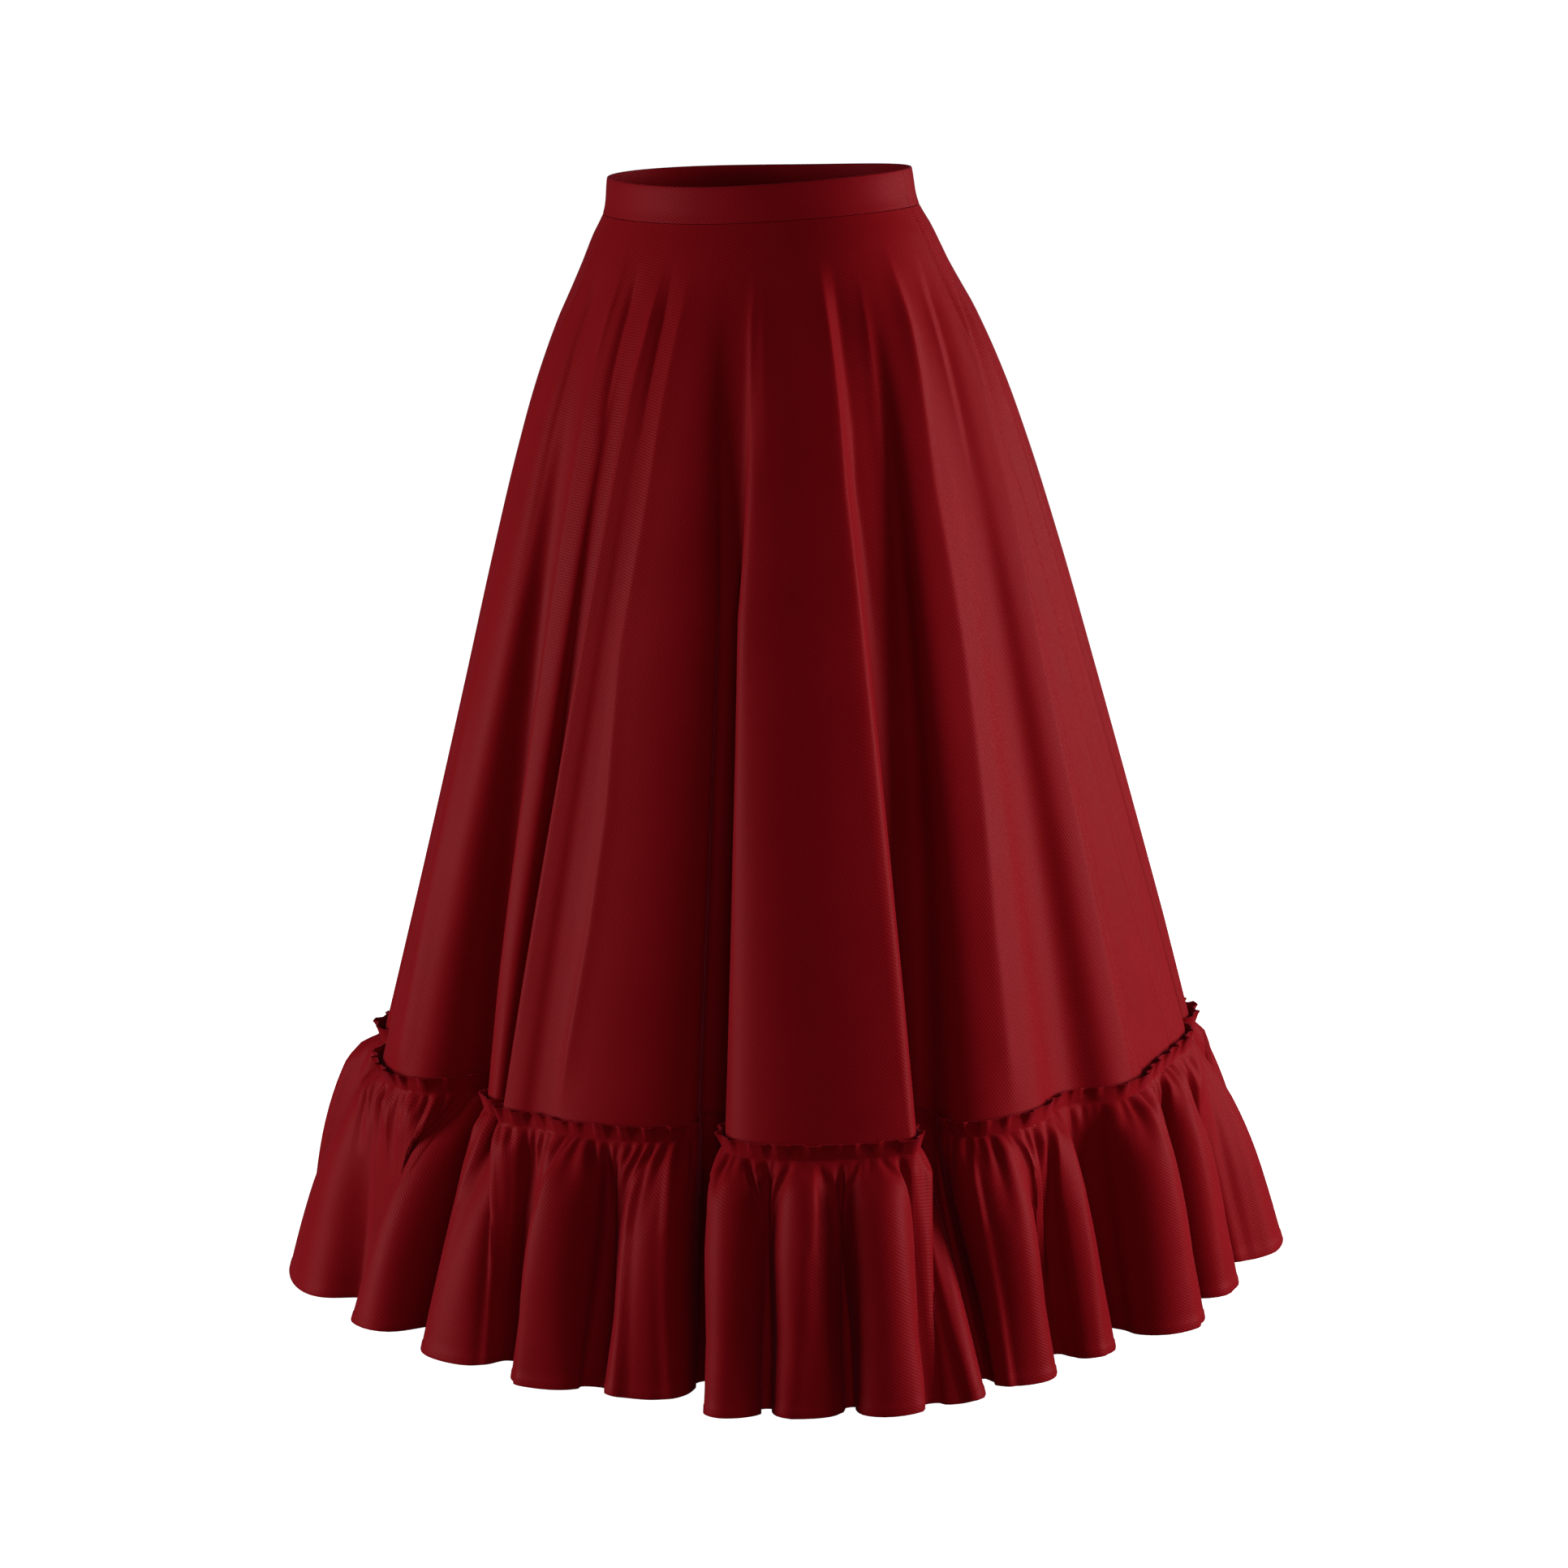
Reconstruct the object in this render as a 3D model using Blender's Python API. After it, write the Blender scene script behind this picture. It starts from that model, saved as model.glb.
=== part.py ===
"""Folk dance skirt, floor length, worn form held open with no wearer.

A maker cuts and sews six pieces: a contoured waistband in two halves, a flared front and
back panel, and a gathered flounce in two lengths that carries its own ruched header. They
meet at two side seams. Units are metres, +Z is up, the skirt's front faces -Y and the
wearer's left is +X. The origin is the centre of the waistband, where the skirt is held.
"""
import math
from collections import namedtuple

import bmesh
import bpy
import numpy as np

# Levels below the middle of the waistband
BAND_TOP = 0.015
BAND_BOTTOM = -0.015
PINCH_LEVEL = -0.720        # the gathering stitches, along the panels' lower edge
HEM_LEVEL = -0.903

# Cloth
PANEL_WALL = 0.0012
FLOUNCE_WALL = 0.0012
BAND_WALL = 0.0020
SEAM_GAP = 0.0003           # between pieces that are sewn edge to edge
LAP_GAP = 0.0006            # between the panel and the flounce laid on it
BAND_PROUD = 0.0004         # the band stands out over the panel by its extra layers

# How the waist line dips and how far the hem hangs off the waist's axis
FRONT_DIP = 0.0016
SIDE_RISE = 0.0017
WAIST_LINE_FADE = 0.20
HEM_SWAY = (-0.0162, -0.0081)

# The flounce
HEADER_HEIGHT = 0.012       # the ruched frill above the gathering stitches
HEADER_LEAN = 0.0055
HEADER_SHUT_LEAN = 0.3      # the share of that lean left where a valley's floor shuts
HEADER_RUFFLE = 0.0050
GATHER_PITCH = 0.0215
GATHER_SWELL = 0.0040       # the gathers just under the stitches
GATHER_MEAN = 0.72          # of a full gather
Ripple = namedtuple("Ripple", "size rate start")
GATHER_RIPPLES = (Ripple(0.16, 1.70, 0.0), Ripple(0.12, 0.61, 1.0))
BILLOW = 0.02               # how far the flounce bows out, as a share of its spread
CREST_BILLOW = 0.18         # what a wide fold's crest adds to that, and its valley loses

# Where the line at the stitches turns inwards too sharply for a gather to stand out
HOLLOW_REACH = 4            # columns, each way
HOLLOW_TURN = 0.5           # sine of the turn that leaves no room at all
HOLLOW_SOFTENING = 2

# Mesh columns
HALF_FLUTE_COLUMNS = 5
BAND_COLUMNS = 60
COLUMNS_PER_GATHER = 4

# The smooth body of the skirt, before any fold: half its width and half its depth
Section = namedtuple("Section", "level half_width half_depth")
SECTIONS = [
    Section(0.015, 0.1306, 0.0980),
    Section(-0.015, 0.1360, 0.1020),
    Section(-0.030, 0.1445, 0.1105),
    Section(-0.050, 0.1536, 0.1206),
    Section(-0.075, 0.1644, 0.1332),
    Section(-0.100, 0.1755, 0.1465),
    Section(-0.130, 0.1881, 0.1618),
    Section(-0.160, 0.1993, 0.1754),
    Section(-0.210, 0.2152, 0.1945),
    Section(-0.300, 0.2401, 0.2257),
    Section(-0.400, 0.2655, 0.2575),
    Section(-0.600, 0.3162, 0.3162),
    Section(-0.740, 0.3525, 0.3525),
]
PINCH_RADIUS = 0.3475       # the smooth body's radius at the gathering stitches

# The panels' flutes, counted round from the front towards the wearer's left. Angles are in
# degrees, at the hip and at the gathering stitches; radii are in mm at the stitches. The
# last three columns shape the valley: how steep its walls are, and how close to its floor
# the wall before it and the wall after it stay.
FLUTE_TOP_LEVEL = -0.10
FOLD_START = -0.050
FOLD_ROUNDING = 0.06
VALLEY_HASTE = 0.60         # valleys deepen sooner than crests rise; 1 would be together
FULL_SHAPE_GROWTH = 0.55    # from this depth down a valley's walls are at their steepest
Flute = namedtuple("Flute", "crest_hip crest_low crest_mm "
                            "valley_hip valley_low valley_mm steep close_in close_out")
FLUTES = [
    Flute(-54, -54, 346, -36, -32, 272, 0.6, 0.6, 0.9),
    Flute(-30, -25, 308, -18, -21, 282, 0.6, 0.3, 0.8),
    Flute(-12, -16, 320, -6, -10, 310, 0.3, 0.3, 0.3),
    Flute(1, -3, 315, 17, 17, 268, 0.9, 0.5, 1.2),
    Flute(42, 38, 369, 58, 47, 297, 0.9, 1.2, 0.4),
    Flute(71, 58, 356, 78, 71, 334, 0.3, 0.2, 0.3),
    Flute(86, 79, 358, 89, 88, 314, 0.8, 0.9, 0.6),
    Flute(92, 93, 352, 99, 99, 310, 0.8, 0.9, 0.6),
    Flute(112, 112, 350, 124, 124, 298, 0.8, 0.8, 0.6),
    Flute(136, 135, 350, 146, 145, 286, 0.8, 0.8, 0.8),
    Flute(158, 158, 360, 169, 170, 305, 0.8, 0.7, 0.7),
    Flute(179, 180, 345, 187, 188, 318, 0.4, 0.3, 0.3),
    Flute(199, 199, 356, 212, 211, 278, 0.9, 1.0, 0.7),
    Flute(223, 222, 350, 232, 231, 312, 0.6, 0.5, 0.5),
    Flute(243, 243, 359, 256, 256, 290, 0.8, 0.7, 0.9),
    Flute(263, 263, 346, 270, 270, 318, 0.5, 0.4, 0.4),
    Flute(285, 285, 354, 295, 295, 320, 0.6, 0.4, 0.6),
]
LEFT_SEAM_FLUTE = 6         # the wearer's left side seam lies in this flute's valley
RIGHT_SEAM_FLUTE = 15

# The flounce's folds at the hem. Each valley also has the angle at which it leaves the
# gathering stitches; radii are in mm at the hem.
Wave = namedtuple("Wave", "crest crest_mm valley valley_mm valley_top")
WAVES = [
    Wave(-62, 428, -42, 358, -43),
    Wave(-38, 394, -29, 336, -32),
    Wave(-21, 389, -11, 354, -13),
    Wave(-5, 395, 3, 378, 2),
    Wave(10, 396, 16, 350, 17),
    Wave(20, 431, 24, 412, 25),
    Wave(29, 438, 33, 419, 33),
    Wave(37, 447, 41, 430, 40),
    Wave(45, 440, 47.5, 388, 47),
    Wave(54, 429, 59, 372, 58),
    Wave(65, 410, 69, 354, 69),
    Wave(78, 424, 84, 368, 88),
    Wave(91, 412, 97, 368, 99),
    Wave(108, 425, 115, 384, 112),
    Wave(120, 414, 126, 370, 124),
    Wave(135, 418, 145, 362, 145),
    Wave(152, 421, 158, 394, 157),
    Wave(164, 430, 171, 384, 170),
    Wave(177, 419, 182, 396, 181),
    Wave(187, 417, 192, 380, 189),
    Wave(200, 427, 211, 356, 211),
    Wave(216, 416, 220, 396, 221),
    Wave(225, 419, 232, 378, 231),
    Wave(239, 431, 245, 400, 245),
    Wave(249, 428, 255, 368, 256),
    Wave(262, 418, 270, 378, 270),
    Wave(276, 414, 280, 390, 281),
    Wave(285, 424, 292, 384, 294),
]
LEFT_SEAM_WAVE = 11
RIGHT_SEAM_WAVE = 25
WAVE_STEEP = 0.70
WAVE_NARROW = 0.55
WIDE_WAVE = 12.0            # degrees; narrower folds bow out and in by less

# Rows of the meshes
BAND_LEVELS = (BAND_TOP, BAND_BOTTOM + SEAM_GAP / 2)
PANEL_LEVELS = (BAND_BOTTOM - SEAM_GAP / 2, -0.045, -0.085, -0.135, -0.21, -0.34, PINCH_LEVEL)
FLOUNCE_SHARES = (0.08, 0.27, 0.50, 0.75, 1.0)   # of the drop from stitches to hem
FINE_ROWS = 3               # the header's top, the stitches and the row just below

CLOTH_COLOUR = (0.165, 0.004, 0.010, 1.0)
BAND_COLOUR = (0.160, 0.005, 0.011, 1.0)
CLOTH_ROUGHNESS = 0.62


def clear_scene():
    for thing in list(bpy.data.objects):
        bpy.data.objects.remove(thing, do_unlink=True)


def cloth_material(name, colour):
    material = bpy.data.materials.new(name)
    material.use_nodes = True
    shader = material.node_tree.nodes["Principled BSDF"]
    shader.inputs["Base Color"].default_value = colour
    shader.inputs["Roughness"].default_value = CLOTH_ROUGHNESS
    shader.inputs["Metallic"].default_value = 0.0
    return material


def smooth_table(levels, values, level):
    """Read a table of falling levels along a smooth curve through its rows."""
    x = -np.array(levels)
    y = np.array(values)
    slopes = np.gradient(y, x)
    place = int(np.clip(np.searchsorted(x, -level, side="right") - 1, 0, len(x) - 2))
    span = x[place + 1] - x[place]
    u = (-level - x[place]) / span
    start = (1 + 2 * u) * (1 - u) ** 2 * y[place] + u * (1 - u) ** 2 * span * slopes[place]
    end = u * u * (3 - 2 * u) * y[place + 1] + u * u * (u - 1) * span * slopes[place + 1]
    return start + end


def body_radius(angle, level):
    """Radius of the smooth body, an oval, at an angle in radians from the front."""
    levels = [s.level for s in SECTIONS]
    wide = smooth_table(levels, [s.half_width for s in SECTIONS], level)
    deep = smooth_table(levels, [s.half_depth for s in SECTIONS], level)
    return wide * deep / np.sqrt((deep * np.sin(angle)) ** 2 + (wide * np.cos(angle)) ** 2)


def place_points(angle, radius, level):
    """Turn angles, radii and a level into points, with the waist line and the hem's sway."""
    fade = max(0.0, 1 + min(level, 0.0) / WAIST_LINE_FADE) ** 2
    lift = -fade * (FRONT_DIP * np.cos(angle) + SIDE_RISE * np.cos(2 * angle))
    sway = (level / HEM_LEVEL) ** 2
    x = radius * np.sin(angle) + HEM_SWAY[0] * sway
    y = -radius * np.cos(angle) + HEM_SWAY[1] * sway
    return np.stack([x, y, level + lift], axis=1)


def wall_run(share, steep, narrow):
    """How far round, from valley to crest, the cloth has gone at a share of its length."""
    turn = np.pi * share
    return share + steep * np.sin(2 * turn) / (2 * np.pi) - narrow * np.sin(turn) / np.pi


def wall_rise(share):
    """How far out, from valley to crest, the cloth has gone at a share of its length."""
    return (1 - np.cos(np.pi * share)) / 2


def fold_growth(level):
    """0 above the folds, then a soft start and a straight growth to 1 at the stitches."""
    run = FOLD_START - level
    full = FOLD_START - PINCH_LEVEL
    soft = run * run / (2 * FOLD_ROUNDING) if run < FOLD_ROUNDING else run - FOLD_ROUNDING / 2
    return soft / (full - FOLD_ROUNDING / 2) if run > 0 else 0.0


def low_swell(radius_mm):
    """How far a radius at the stitches stands out from the smooth body, as a share of it."""
    return radius_mm / 1000 / PINCH_RADIUS - 1


def panel_course(level):
    """Angles and radii of both panels' outer points at one level, all round."""
    turn = np.clip((FLUTE_TOP_LEVEL - level) / (FLUTE_TOP_LEVEL - PINCH_LEVEL), 0, 1)
    growth = fold_growth(level)
    sinking = growth ** VALLEY_HASTE
    sharp = min(1.0, sinking / FULL_SHAPE_GROWTH)
    steps = np.arange(HALF_FLUTE_COLUMNS) / HALF_FLUTE_COLUMNS
    valleys = []
    for index, flute in enumerate(FLUTES):
        following = FLUTES[(index + 1) % len(FLUTES)]
        crests = low_swell((flute.crest_mm + following.crest_mm) / 2)
        depth = crests - low_swell(flute.valley_mm)
        angle = flute.valley_hip + (flute.valley_low - flute.valley_hip) * turn
        valleys.append((angle, crests * growth - depth * sinking))
    angles = []
    swells = []
    for index, flute in enumerate(FLUTES):
        last = FLUTES[index - 1]
        before, sunk_before = valleys[index - 1]
        after, sunk_after = valleys[index]
        if index == 0:
            before -= 360
        crest = flute.crest_hip + (flute.crest_low - flute.crest_hip) * turn
        out = low_swell(flute.crest_mm) * growth
        halves = ((before, sunk_before, last.steep, last.close_out, steps),
                  (after, sunk_after, flute.steep, flute.close_in, 1 - steps))
        for valley, sunk, steep, close, share in halves:
            run = wall_run(share, steep * sharp, close * sharp)
            angles.append(valley + (crest - valley) * run)
            swells.append(sunk + (out - sunk) * wall_rise(share))
    angle = np.radians(np.concatenate(angles))
    swell = np.concatenate(swells)
    return angle, body_radius(angle, level) * (1 + swell)


def panel_ring(level):
    """Outer points of both panels at one level, all round."""
    angle, radius = panel_course(level)
    return place_points(angle, radius, level)


def outward_normals(grid):
    """Unit normals of a grid of rows that run all round, pointing away from the body."""
    around = np.roll(grid, -1, axis=1) - np.roll(grid, 1, axis=1)
    down = np.gradient(grid, axis=0)
    normal = np.cross(down, around)
    return normal / np.linalg.norm(normal, axis=2, keepdims=True)


def pull_in(row):
    """Draw a row's two end points in by half the seam gap, along the cloth."""
    for end, inner in ((0, 1), (-1, -2)):
        along = row[inner] - row[end]
        row[end] = row[end] + along / np.linalg.norm(along) * SEAM_GAP / 2
    return row


def cut_columns(grid, first, last):
    """The columns from first to last, both kept, going on past the end of the round."""
    columns = np.arange(first, last + 1) % grid.shape[1]
    return [pull_in(row[columns].copy()) for row in grid]


def add_strip(faces, upper, lower, flip):
    """Triangles between two rows of vertices; the lower may have half as many columns."""
    ratio = (len(upper) - 1) // (len(lower) - 1)
    for column in range(len(lower) - 1):
        a = upper[column * ratio:(column + 1) * ratio + 1]
        b = lower[column:column + 2]
        if ratio == 1:
            new = [(a[0], b[0], b[1]), (a[0], b[1], a[1])]
        else:
            new = [(a[0], b[0], a[1]), (a[1], b[0], b[1]), (a[1], b[1], a[2])]
        faces.extend(face[::-1] if flip else face for face in new)


def build_shell(name, outer, inner, material):
    """One closed wall from rows of outer and inner points, top row first."""
    mesh = bpy.data.meshes.new(name)
    frame = bmesh.new()
    outside = [[frame.verts.new(point) for point in row] for row in outer]
    inside = [[frame.verts.new(point) for point in row] for row in inner]
    faces = []
    for upper, lower in zip(outside, outside[1:]):
        add_strip(faces, upper, lower, False)
    for upper, lower in zip(inside, inside[1:]):
        add_strip(faces, upper, lower, True)
    add_strip(faces, inside[0], outside[0], False)
    add_strip(faces, outside[-1], inside[-1], False)
    left = ([row[0] for row in outside], [row[0] for row in inside])
    right = ([row[-1] for row in outside], [row[-1] for row in inside])
    add_strip(faces, left[0], left[1], False)
    add_strip(faces, right[0], right[1], True)
    for face in faces:
        frame.faces.new(face)
    frame.to_mesh(mesh)
    frame.free()
    mesh.materials.append(material)
    mesh.shade_smooth()
    mesh.set_sharp_from_angle(angle=math.radians(50))
    piece = bpy.data.objects.new(name, mesh)
    bpy.context.scene.collection.objects.link(piece)
    return piece


def waistband(material):
    """The plain contoured band, a front and a back half."""
    left = math.radians(FLUTES[LEFT_SEAM_FLUTE].valley_hip)
    right = math.radians(FLUTES[RIGHT_SEAM_FLUTE].valley_hip)
    half = BAND_COLUMNS // 2
    front = np.linspace(right - 2 * math.pi, left, half, endpoint=False)
    back = np.linspace(left, right, half, endpoint=False)
    angle = np.concatenate([front, back])
    rows = [place_points(angle, body_radius(angle, z) + BAND_PROUD, z) for z in BAND_LEVELS]
    outer = np.array(rows)
    inner = outer - outward_normals(outer) * BAND_WALL
    for name, start, end in (("waistband_front", 0, half), ("waistband_back", half, 2 * half)):
        build_shell(name, cut_columns(outer, start, end), cut_columns(inner, start, end), material)


def panels(material):
    """The front and back panels, whose flutes start below the hip."""
    outer = np.array([panel_ring(level) for level in PANEL_LEVELS])
    inner = outer - outward_normals(outer) * PANEL_WALL
    per_flute = 2 * HALF_FLUTE_COLUMNS
    left = (LEFT_SEAM_FLUTE + 1) * per_flute
    right = (RIGHT_SEAM_FLUTE + 1) * per_flute
    total = len(FLUTES) * per_flute
    for name, start, end in (("panel_front", right - total, left), ("panel_back", left, right)):
        build_shell(name, cut_columns(outer, start, end), cut_columns(inner, start, end), material)


def pinch_line():
    """The panels' outer line at the stitches, closed: its points, each point's run along it
    and the greatest angle reached so far, in degrees."""
    ring = panel_ring(PINCH_LEVEL)
    closed = np.vstack([ring, ring[:1]])
    run = np.concatenate([[0], np.cumsum(np.linalg.norm(np.diff(closed, axis=0), axis=1))])
    angle = np.degrees(panel_course(PINCH_LEVEL)[0])
    reached = np.maximum.accumulate(np.append(angle, angle[0] + 360))
    return closed, run, reached


def pinch_offsets(closed):
    """At each point of the line, the step that moves both its edges out by one unit."""
    edge = np.diff(closed, axis=0)
    after = np.stack([edge[:, 1], -edge[:, 0], np.zeros(len(edge))], axis=1)
    after /= np.linalg.norm(after, axis=1, keepdims=True)
    before = np.roll(after, 1, axis=0)
    corner = (before + after) / (1 + np.sum(before * after, axis=1, keepdims=True))
    return np.vstack([corner, corner[:1]])


def flounce_columns(run, reached):
    """For each fine column: its run along the stitches, its fold, its share of the fold and
    its gather. Columns are moved onto the panel's own corners, so that the line is the same."""
    columns = []
    starts = []
    gather = 0
    for index, wave in enumerate(WAVES):
        begin_angle = WAVES[index - 1].valley_top - (360 if index == 0 else 0)
        begin, crest, end = np.interp((begin_angle, wave.crest, wave.valley_top), reached, run)
        gathers = max(2, round((end - begin) / GATHER_PITCH))
        count = gathers * COLUMNS_PER_GATHER
        starts.append(len(columns))
        for step in range(count):
            place = begin + (end - begin) * step / count
            share = np.interp(place, (begin, crest, end), (0, 0.5, 1))
            columns.append((place, index, share, gather + step / COLUMNS_PER_GATHER))
        gather += gathers
    starts.append(len(columns))
    columns = np.array(columns)
    for corner in run[:-1]:
        columns[np.argmin(np.abs(columns[:, 0] - corner)), 0] = corner
    return columns, starts


def wave_size(index):
    """Narrow folds stand out less: 1 for a wide fold, less for one under 12 degrees."""
    index %= len(WAVES)
    begin = WAVES[index - 1].valley - (360 if index == 0 else 0)
    return min(1.0, (WAVES[index].valley - begin) / WIDE_WAVE)


def flounce_hem(wave_index, share):
    """Angle in radians and radius at the hem, and how the fold bows: 1 crest, -1 valley."""
    wave = WAVES[wave_index]
    last = WAVES[wave_index - 1]
    lap = -360 if wave_index == 0 else 0
    if share < 0.5:
        part = 2 * share
        valley = last.valley + lap
        valley_mm = last.valley_mm
        near = wave_index - 1
    else:
        part = 2 - 2 * share
        valley = wave.valley
        valley_mm = wave.valley_mm
        near = (wave_index + 1) % len(WAVES)
    angle = valley + (wave.crest - valley) * wall_run(part, WAVE_STEEP, WAVE_NARROW)
    rise = wall_rise(part)
    shallow = min(wave_size(wave_index), wave_size(near))
    fullness = shallow + (wave_size(wave_index) - shallow) * rise
    radius = (valley_mm + (wave.crest_mm - valley_mm) * rise) / 1000
    return math.radians(angle), radius, (2 * rise - 1) * fullness


def openness(line):
    """1 along the open stretches of a closed line, falling to 0 in the floor of a valley."""
    ahead = np.roll(line, -HOLLOW_REACH, axis=0) - line
    behind = line - np.roll(line, HOLLOW_REACH, axis=0)
    turn = np.cross(behind, ahead)[:, 2]
    turn /= np.linalg.norm(ahead, axis=1) * np.linalg.norm(behind, axis=1)
    hollow = np.clip(-turn / HOLLOW_TURN, 0, 1)
    wide = range(-HOLLOW_REACH, HOLLOW_REACH + 1)
    narrow = range(-HOLLOW_SOFTENING, HOLLOW_SOFTENING + 1)
    spread = np.max([np.roll(hollow, shift) for shift in wide], axis=0)
    return 1 - np.mean([np.roll(spread, shift) for shift in narrow], axis=0)


def gather_size(gather):
    """Gathers differ in size, by a quick and a slow rule that never repeat together."""
    number = math.floor(gather)
    return GATHER_MEAN + sum(r.size * math.sin(r.rate * number + r.start) for r in GATHER_RIPPLES)


def flounce(material):
    """The gathered flounce and its header, laid on the panel's points and moved out."""
    closed, run, reached = pinch_line()
    columns, starts = flounce_columns(run, reached)
    count = len(columns)
    offsets = pinch_offsets(closed)
    top = np.stack([np.interp(columns[:, 0], run, closed[:, k]) for k in range(3)], axis=1)
    out = np.stack([np.interp(columns[:, 0], run, offsets[:, k]) for k in range(3)], axis=1)
    open_share = openness(top)

    hem = []
    bows = []
    for _, index, share, _ in columns:
        angle, radius, bow = flounce_hem(int(index), share)
        hem.append(place_points(np.array([angle]), np.array([radius]), HEM_LEVEL)[0])
        bows.append(bow)
    hem = np.array(hem)
    crest_bow = np.array(bows)
    sizes = np.array([gather_size(g) for g in columns[:, 3]])
    swell = np.sin(np.pi * columns[:, 3]) ** 2 * sizes * open_share

    base = top + out * (LAP_GAP + FLOUNCE_WALL)
    leaning = HEADER_LEAN * (HEADER_SHUT_LEAN + (1 - HEADER_SHUT_LEAN) * open_share)
    header = base + out * (leaning + HEADER_RUFFLE * swell)[:, None]
    header[:, 2] += HEADER_HEIGHT
    rows = [header, base]
    for share in FLOUNCE_SHARES:
        bow = (BILLOW + CREST_BILLOW * crest_bow) * math.sin(math.pi * share)
        spread = (share + bow)[:, None]
        row = base + (hem - base) * spread
        row[:, 2] = PINCH_LEVEL + (HEM_LEVEL - PINCH_LEVEL) * share
        if share < FLOUNCE_SHARES[1]:
            row += out * (GATHER_SWELL * swell)[:, None]
        rows.append(row)
    outer = np.array(rows)
    inner = outer - outward_normals(outer) * FLOUNCE_WALL
    inner[1] = top + out * LAP_GAP

    left = starts[LEFT_SEAM_WAVE + 1]
    right = starts[RIGHT_SEAM_WAVE + 1]
    for name, start, end in (("flounce_front", right - count, left), ("flounce_back", left, right)):
        outside = cut_columns(outer, start, end)
        inside = cut_columns(inner, start, end)
        for row in range(FINE_ROWS, len(outside)):
            outside[row] = outside[row][::2]
            inside[row] = inside[row][::2]
        build_shell(name, outside, inside, material)
    return round(columns[-1, 3])


clear_scene()
waistband(cloth_material("waistband_cloth", BAND_COLOUR))
panels(cloth_material("panel_cloth", CLOTH_COLOUR))
gather_total = flounce(cloth_material("flounce_cloth", CLOTH_COLOUR))
print("flutes", len(FLUTES), "flounce folds", len(WAVES), "gathers", gather_total)
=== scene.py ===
# %% [markdown]
# A folk dance skirt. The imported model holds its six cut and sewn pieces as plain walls: two
# halves of the waistband, two flared panels and two lengths of gathered flounce. This script
# dresses each of them as cloth of nearly the same size, and moves some folds and the left side
# seam by up to ten degrees.

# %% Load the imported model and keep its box
import math
from collections import namedtuple

import bmesh
import bpy
import numpy as np
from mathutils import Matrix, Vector


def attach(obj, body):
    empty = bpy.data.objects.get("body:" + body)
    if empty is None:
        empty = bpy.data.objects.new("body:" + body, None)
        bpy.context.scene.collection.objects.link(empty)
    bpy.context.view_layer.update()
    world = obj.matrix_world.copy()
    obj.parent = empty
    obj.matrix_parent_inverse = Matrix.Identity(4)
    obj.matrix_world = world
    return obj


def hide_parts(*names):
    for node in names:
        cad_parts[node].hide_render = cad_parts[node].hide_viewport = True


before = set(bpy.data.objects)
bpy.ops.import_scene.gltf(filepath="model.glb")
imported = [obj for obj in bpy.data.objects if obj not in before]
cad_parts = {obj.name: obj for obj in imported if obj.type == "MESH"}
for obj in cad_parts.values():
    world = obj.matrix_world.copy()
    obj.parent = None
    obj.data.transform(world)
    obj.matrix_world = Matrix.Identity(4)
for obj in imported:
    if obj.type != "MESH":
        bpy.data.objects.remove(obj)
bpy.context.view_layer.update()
bpy.ops.object.select_all(action="DESELECT")

# %% [markdown]
# The camera comes first, because everything is judged through it. It stands a little above
# the waist, to the wearer's left of the front, and far enough away that the skirt's near and
# far sides are drawn almost alike. It leans by two and a half degrees, as the picture does.

# %% The camera
CAMERA_PLACE = (1.558, -3.1341, 0.2492)
CAMERA_TURN = (77.925, 2.465, 25.922)
CAMERA_LENS = 97.0

turn = tuple(math.radians(angle) for angle in CAMERA_TURN)
bpy.ops.object.camera_add(location=CAMERA_PLACE, rotation=turn)
camera = bpy.context.object
camera.data.lens = CAMERA_LENS
camera.data.sensor_width = 36.0
bpy.context.scene.camera = camera
print("camera lens", CAMERA_LENS, "mm, distance", round(Vector(CAMERA_PLACE).length, 2), "m")

# %% [markdown]
# The skirt is measured down from the middle of the waistband. The panels are nearly a half
# circle of cloth: smooth over the hips, then hanging in flutes. The flounce is a straight strip,
# gathered on a line of stitches 14 mm below its upper edge, so that a frill stands over it.

# %% Levels and cloth, in metres
BAND_TOP = 0.015
BAND_BOTTOM = -0.015
PINCH_LEVEL = -0.720
HEM_LEVEL = -0.903
SEAM_GAP = 0.0003
LAP_GAP = 0.0006
WALL = 0.0012
BAND_WALL = 0.0020
BAND_PROUD = 0.0004
FRONT_DIP = 0.0016
SIDE_RISE = 0.0017
WAIST_LINE_FADE = 0.20
HEM_SWAY = (-0.0162, -0.0081)
PINCH_RADIUS = 0.3475

# The smooth body under the folds: half its width and half its depth at falling levels
Section = namedtuple("Section", "level half_width half_depth")
SECTIONS = [
    Section(0.015, 0.1306, 0.0980),
    Section(-0.015, 0.1360, 0.1020),
    Section(-0.030, 0.1445, 0.1105),
    Section(-0.050, 0.1536, 0.1206),
    Section(-0.075, 0.1644, 0.1332),
    Section(-0.100, 0.1755, 0.1465),
    Section(-0.130, 0.1881, 0.1618),
    Section(-0.160, 0.1993, 0.1754),
    Section(-0.210, 0.2152, 0.1945),
    Section(-0.300, 0.2401, 0.2257),
    Section(-0.400, 0.2655, 0.2575),
    Section(-0.600, 0.3162, 0.3162),
    Section(-0.740, 0.3525, 0.3525),
]
print("sections", len(SECTIONS))

# %% [markdown]
# A flute is one hanging fold: a crest and the valley after it, counted round from the front
# towards the wearer's left. Angles are in degrees, at the hip and at the stitches, and radii
# are in millimetres at the stitches. The last three columns shape the valley: how steep its
# walls are, and how close to its floor the wall before it and the wall after it stay. Folds in
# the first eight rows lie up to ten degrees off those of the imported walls.

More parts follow.
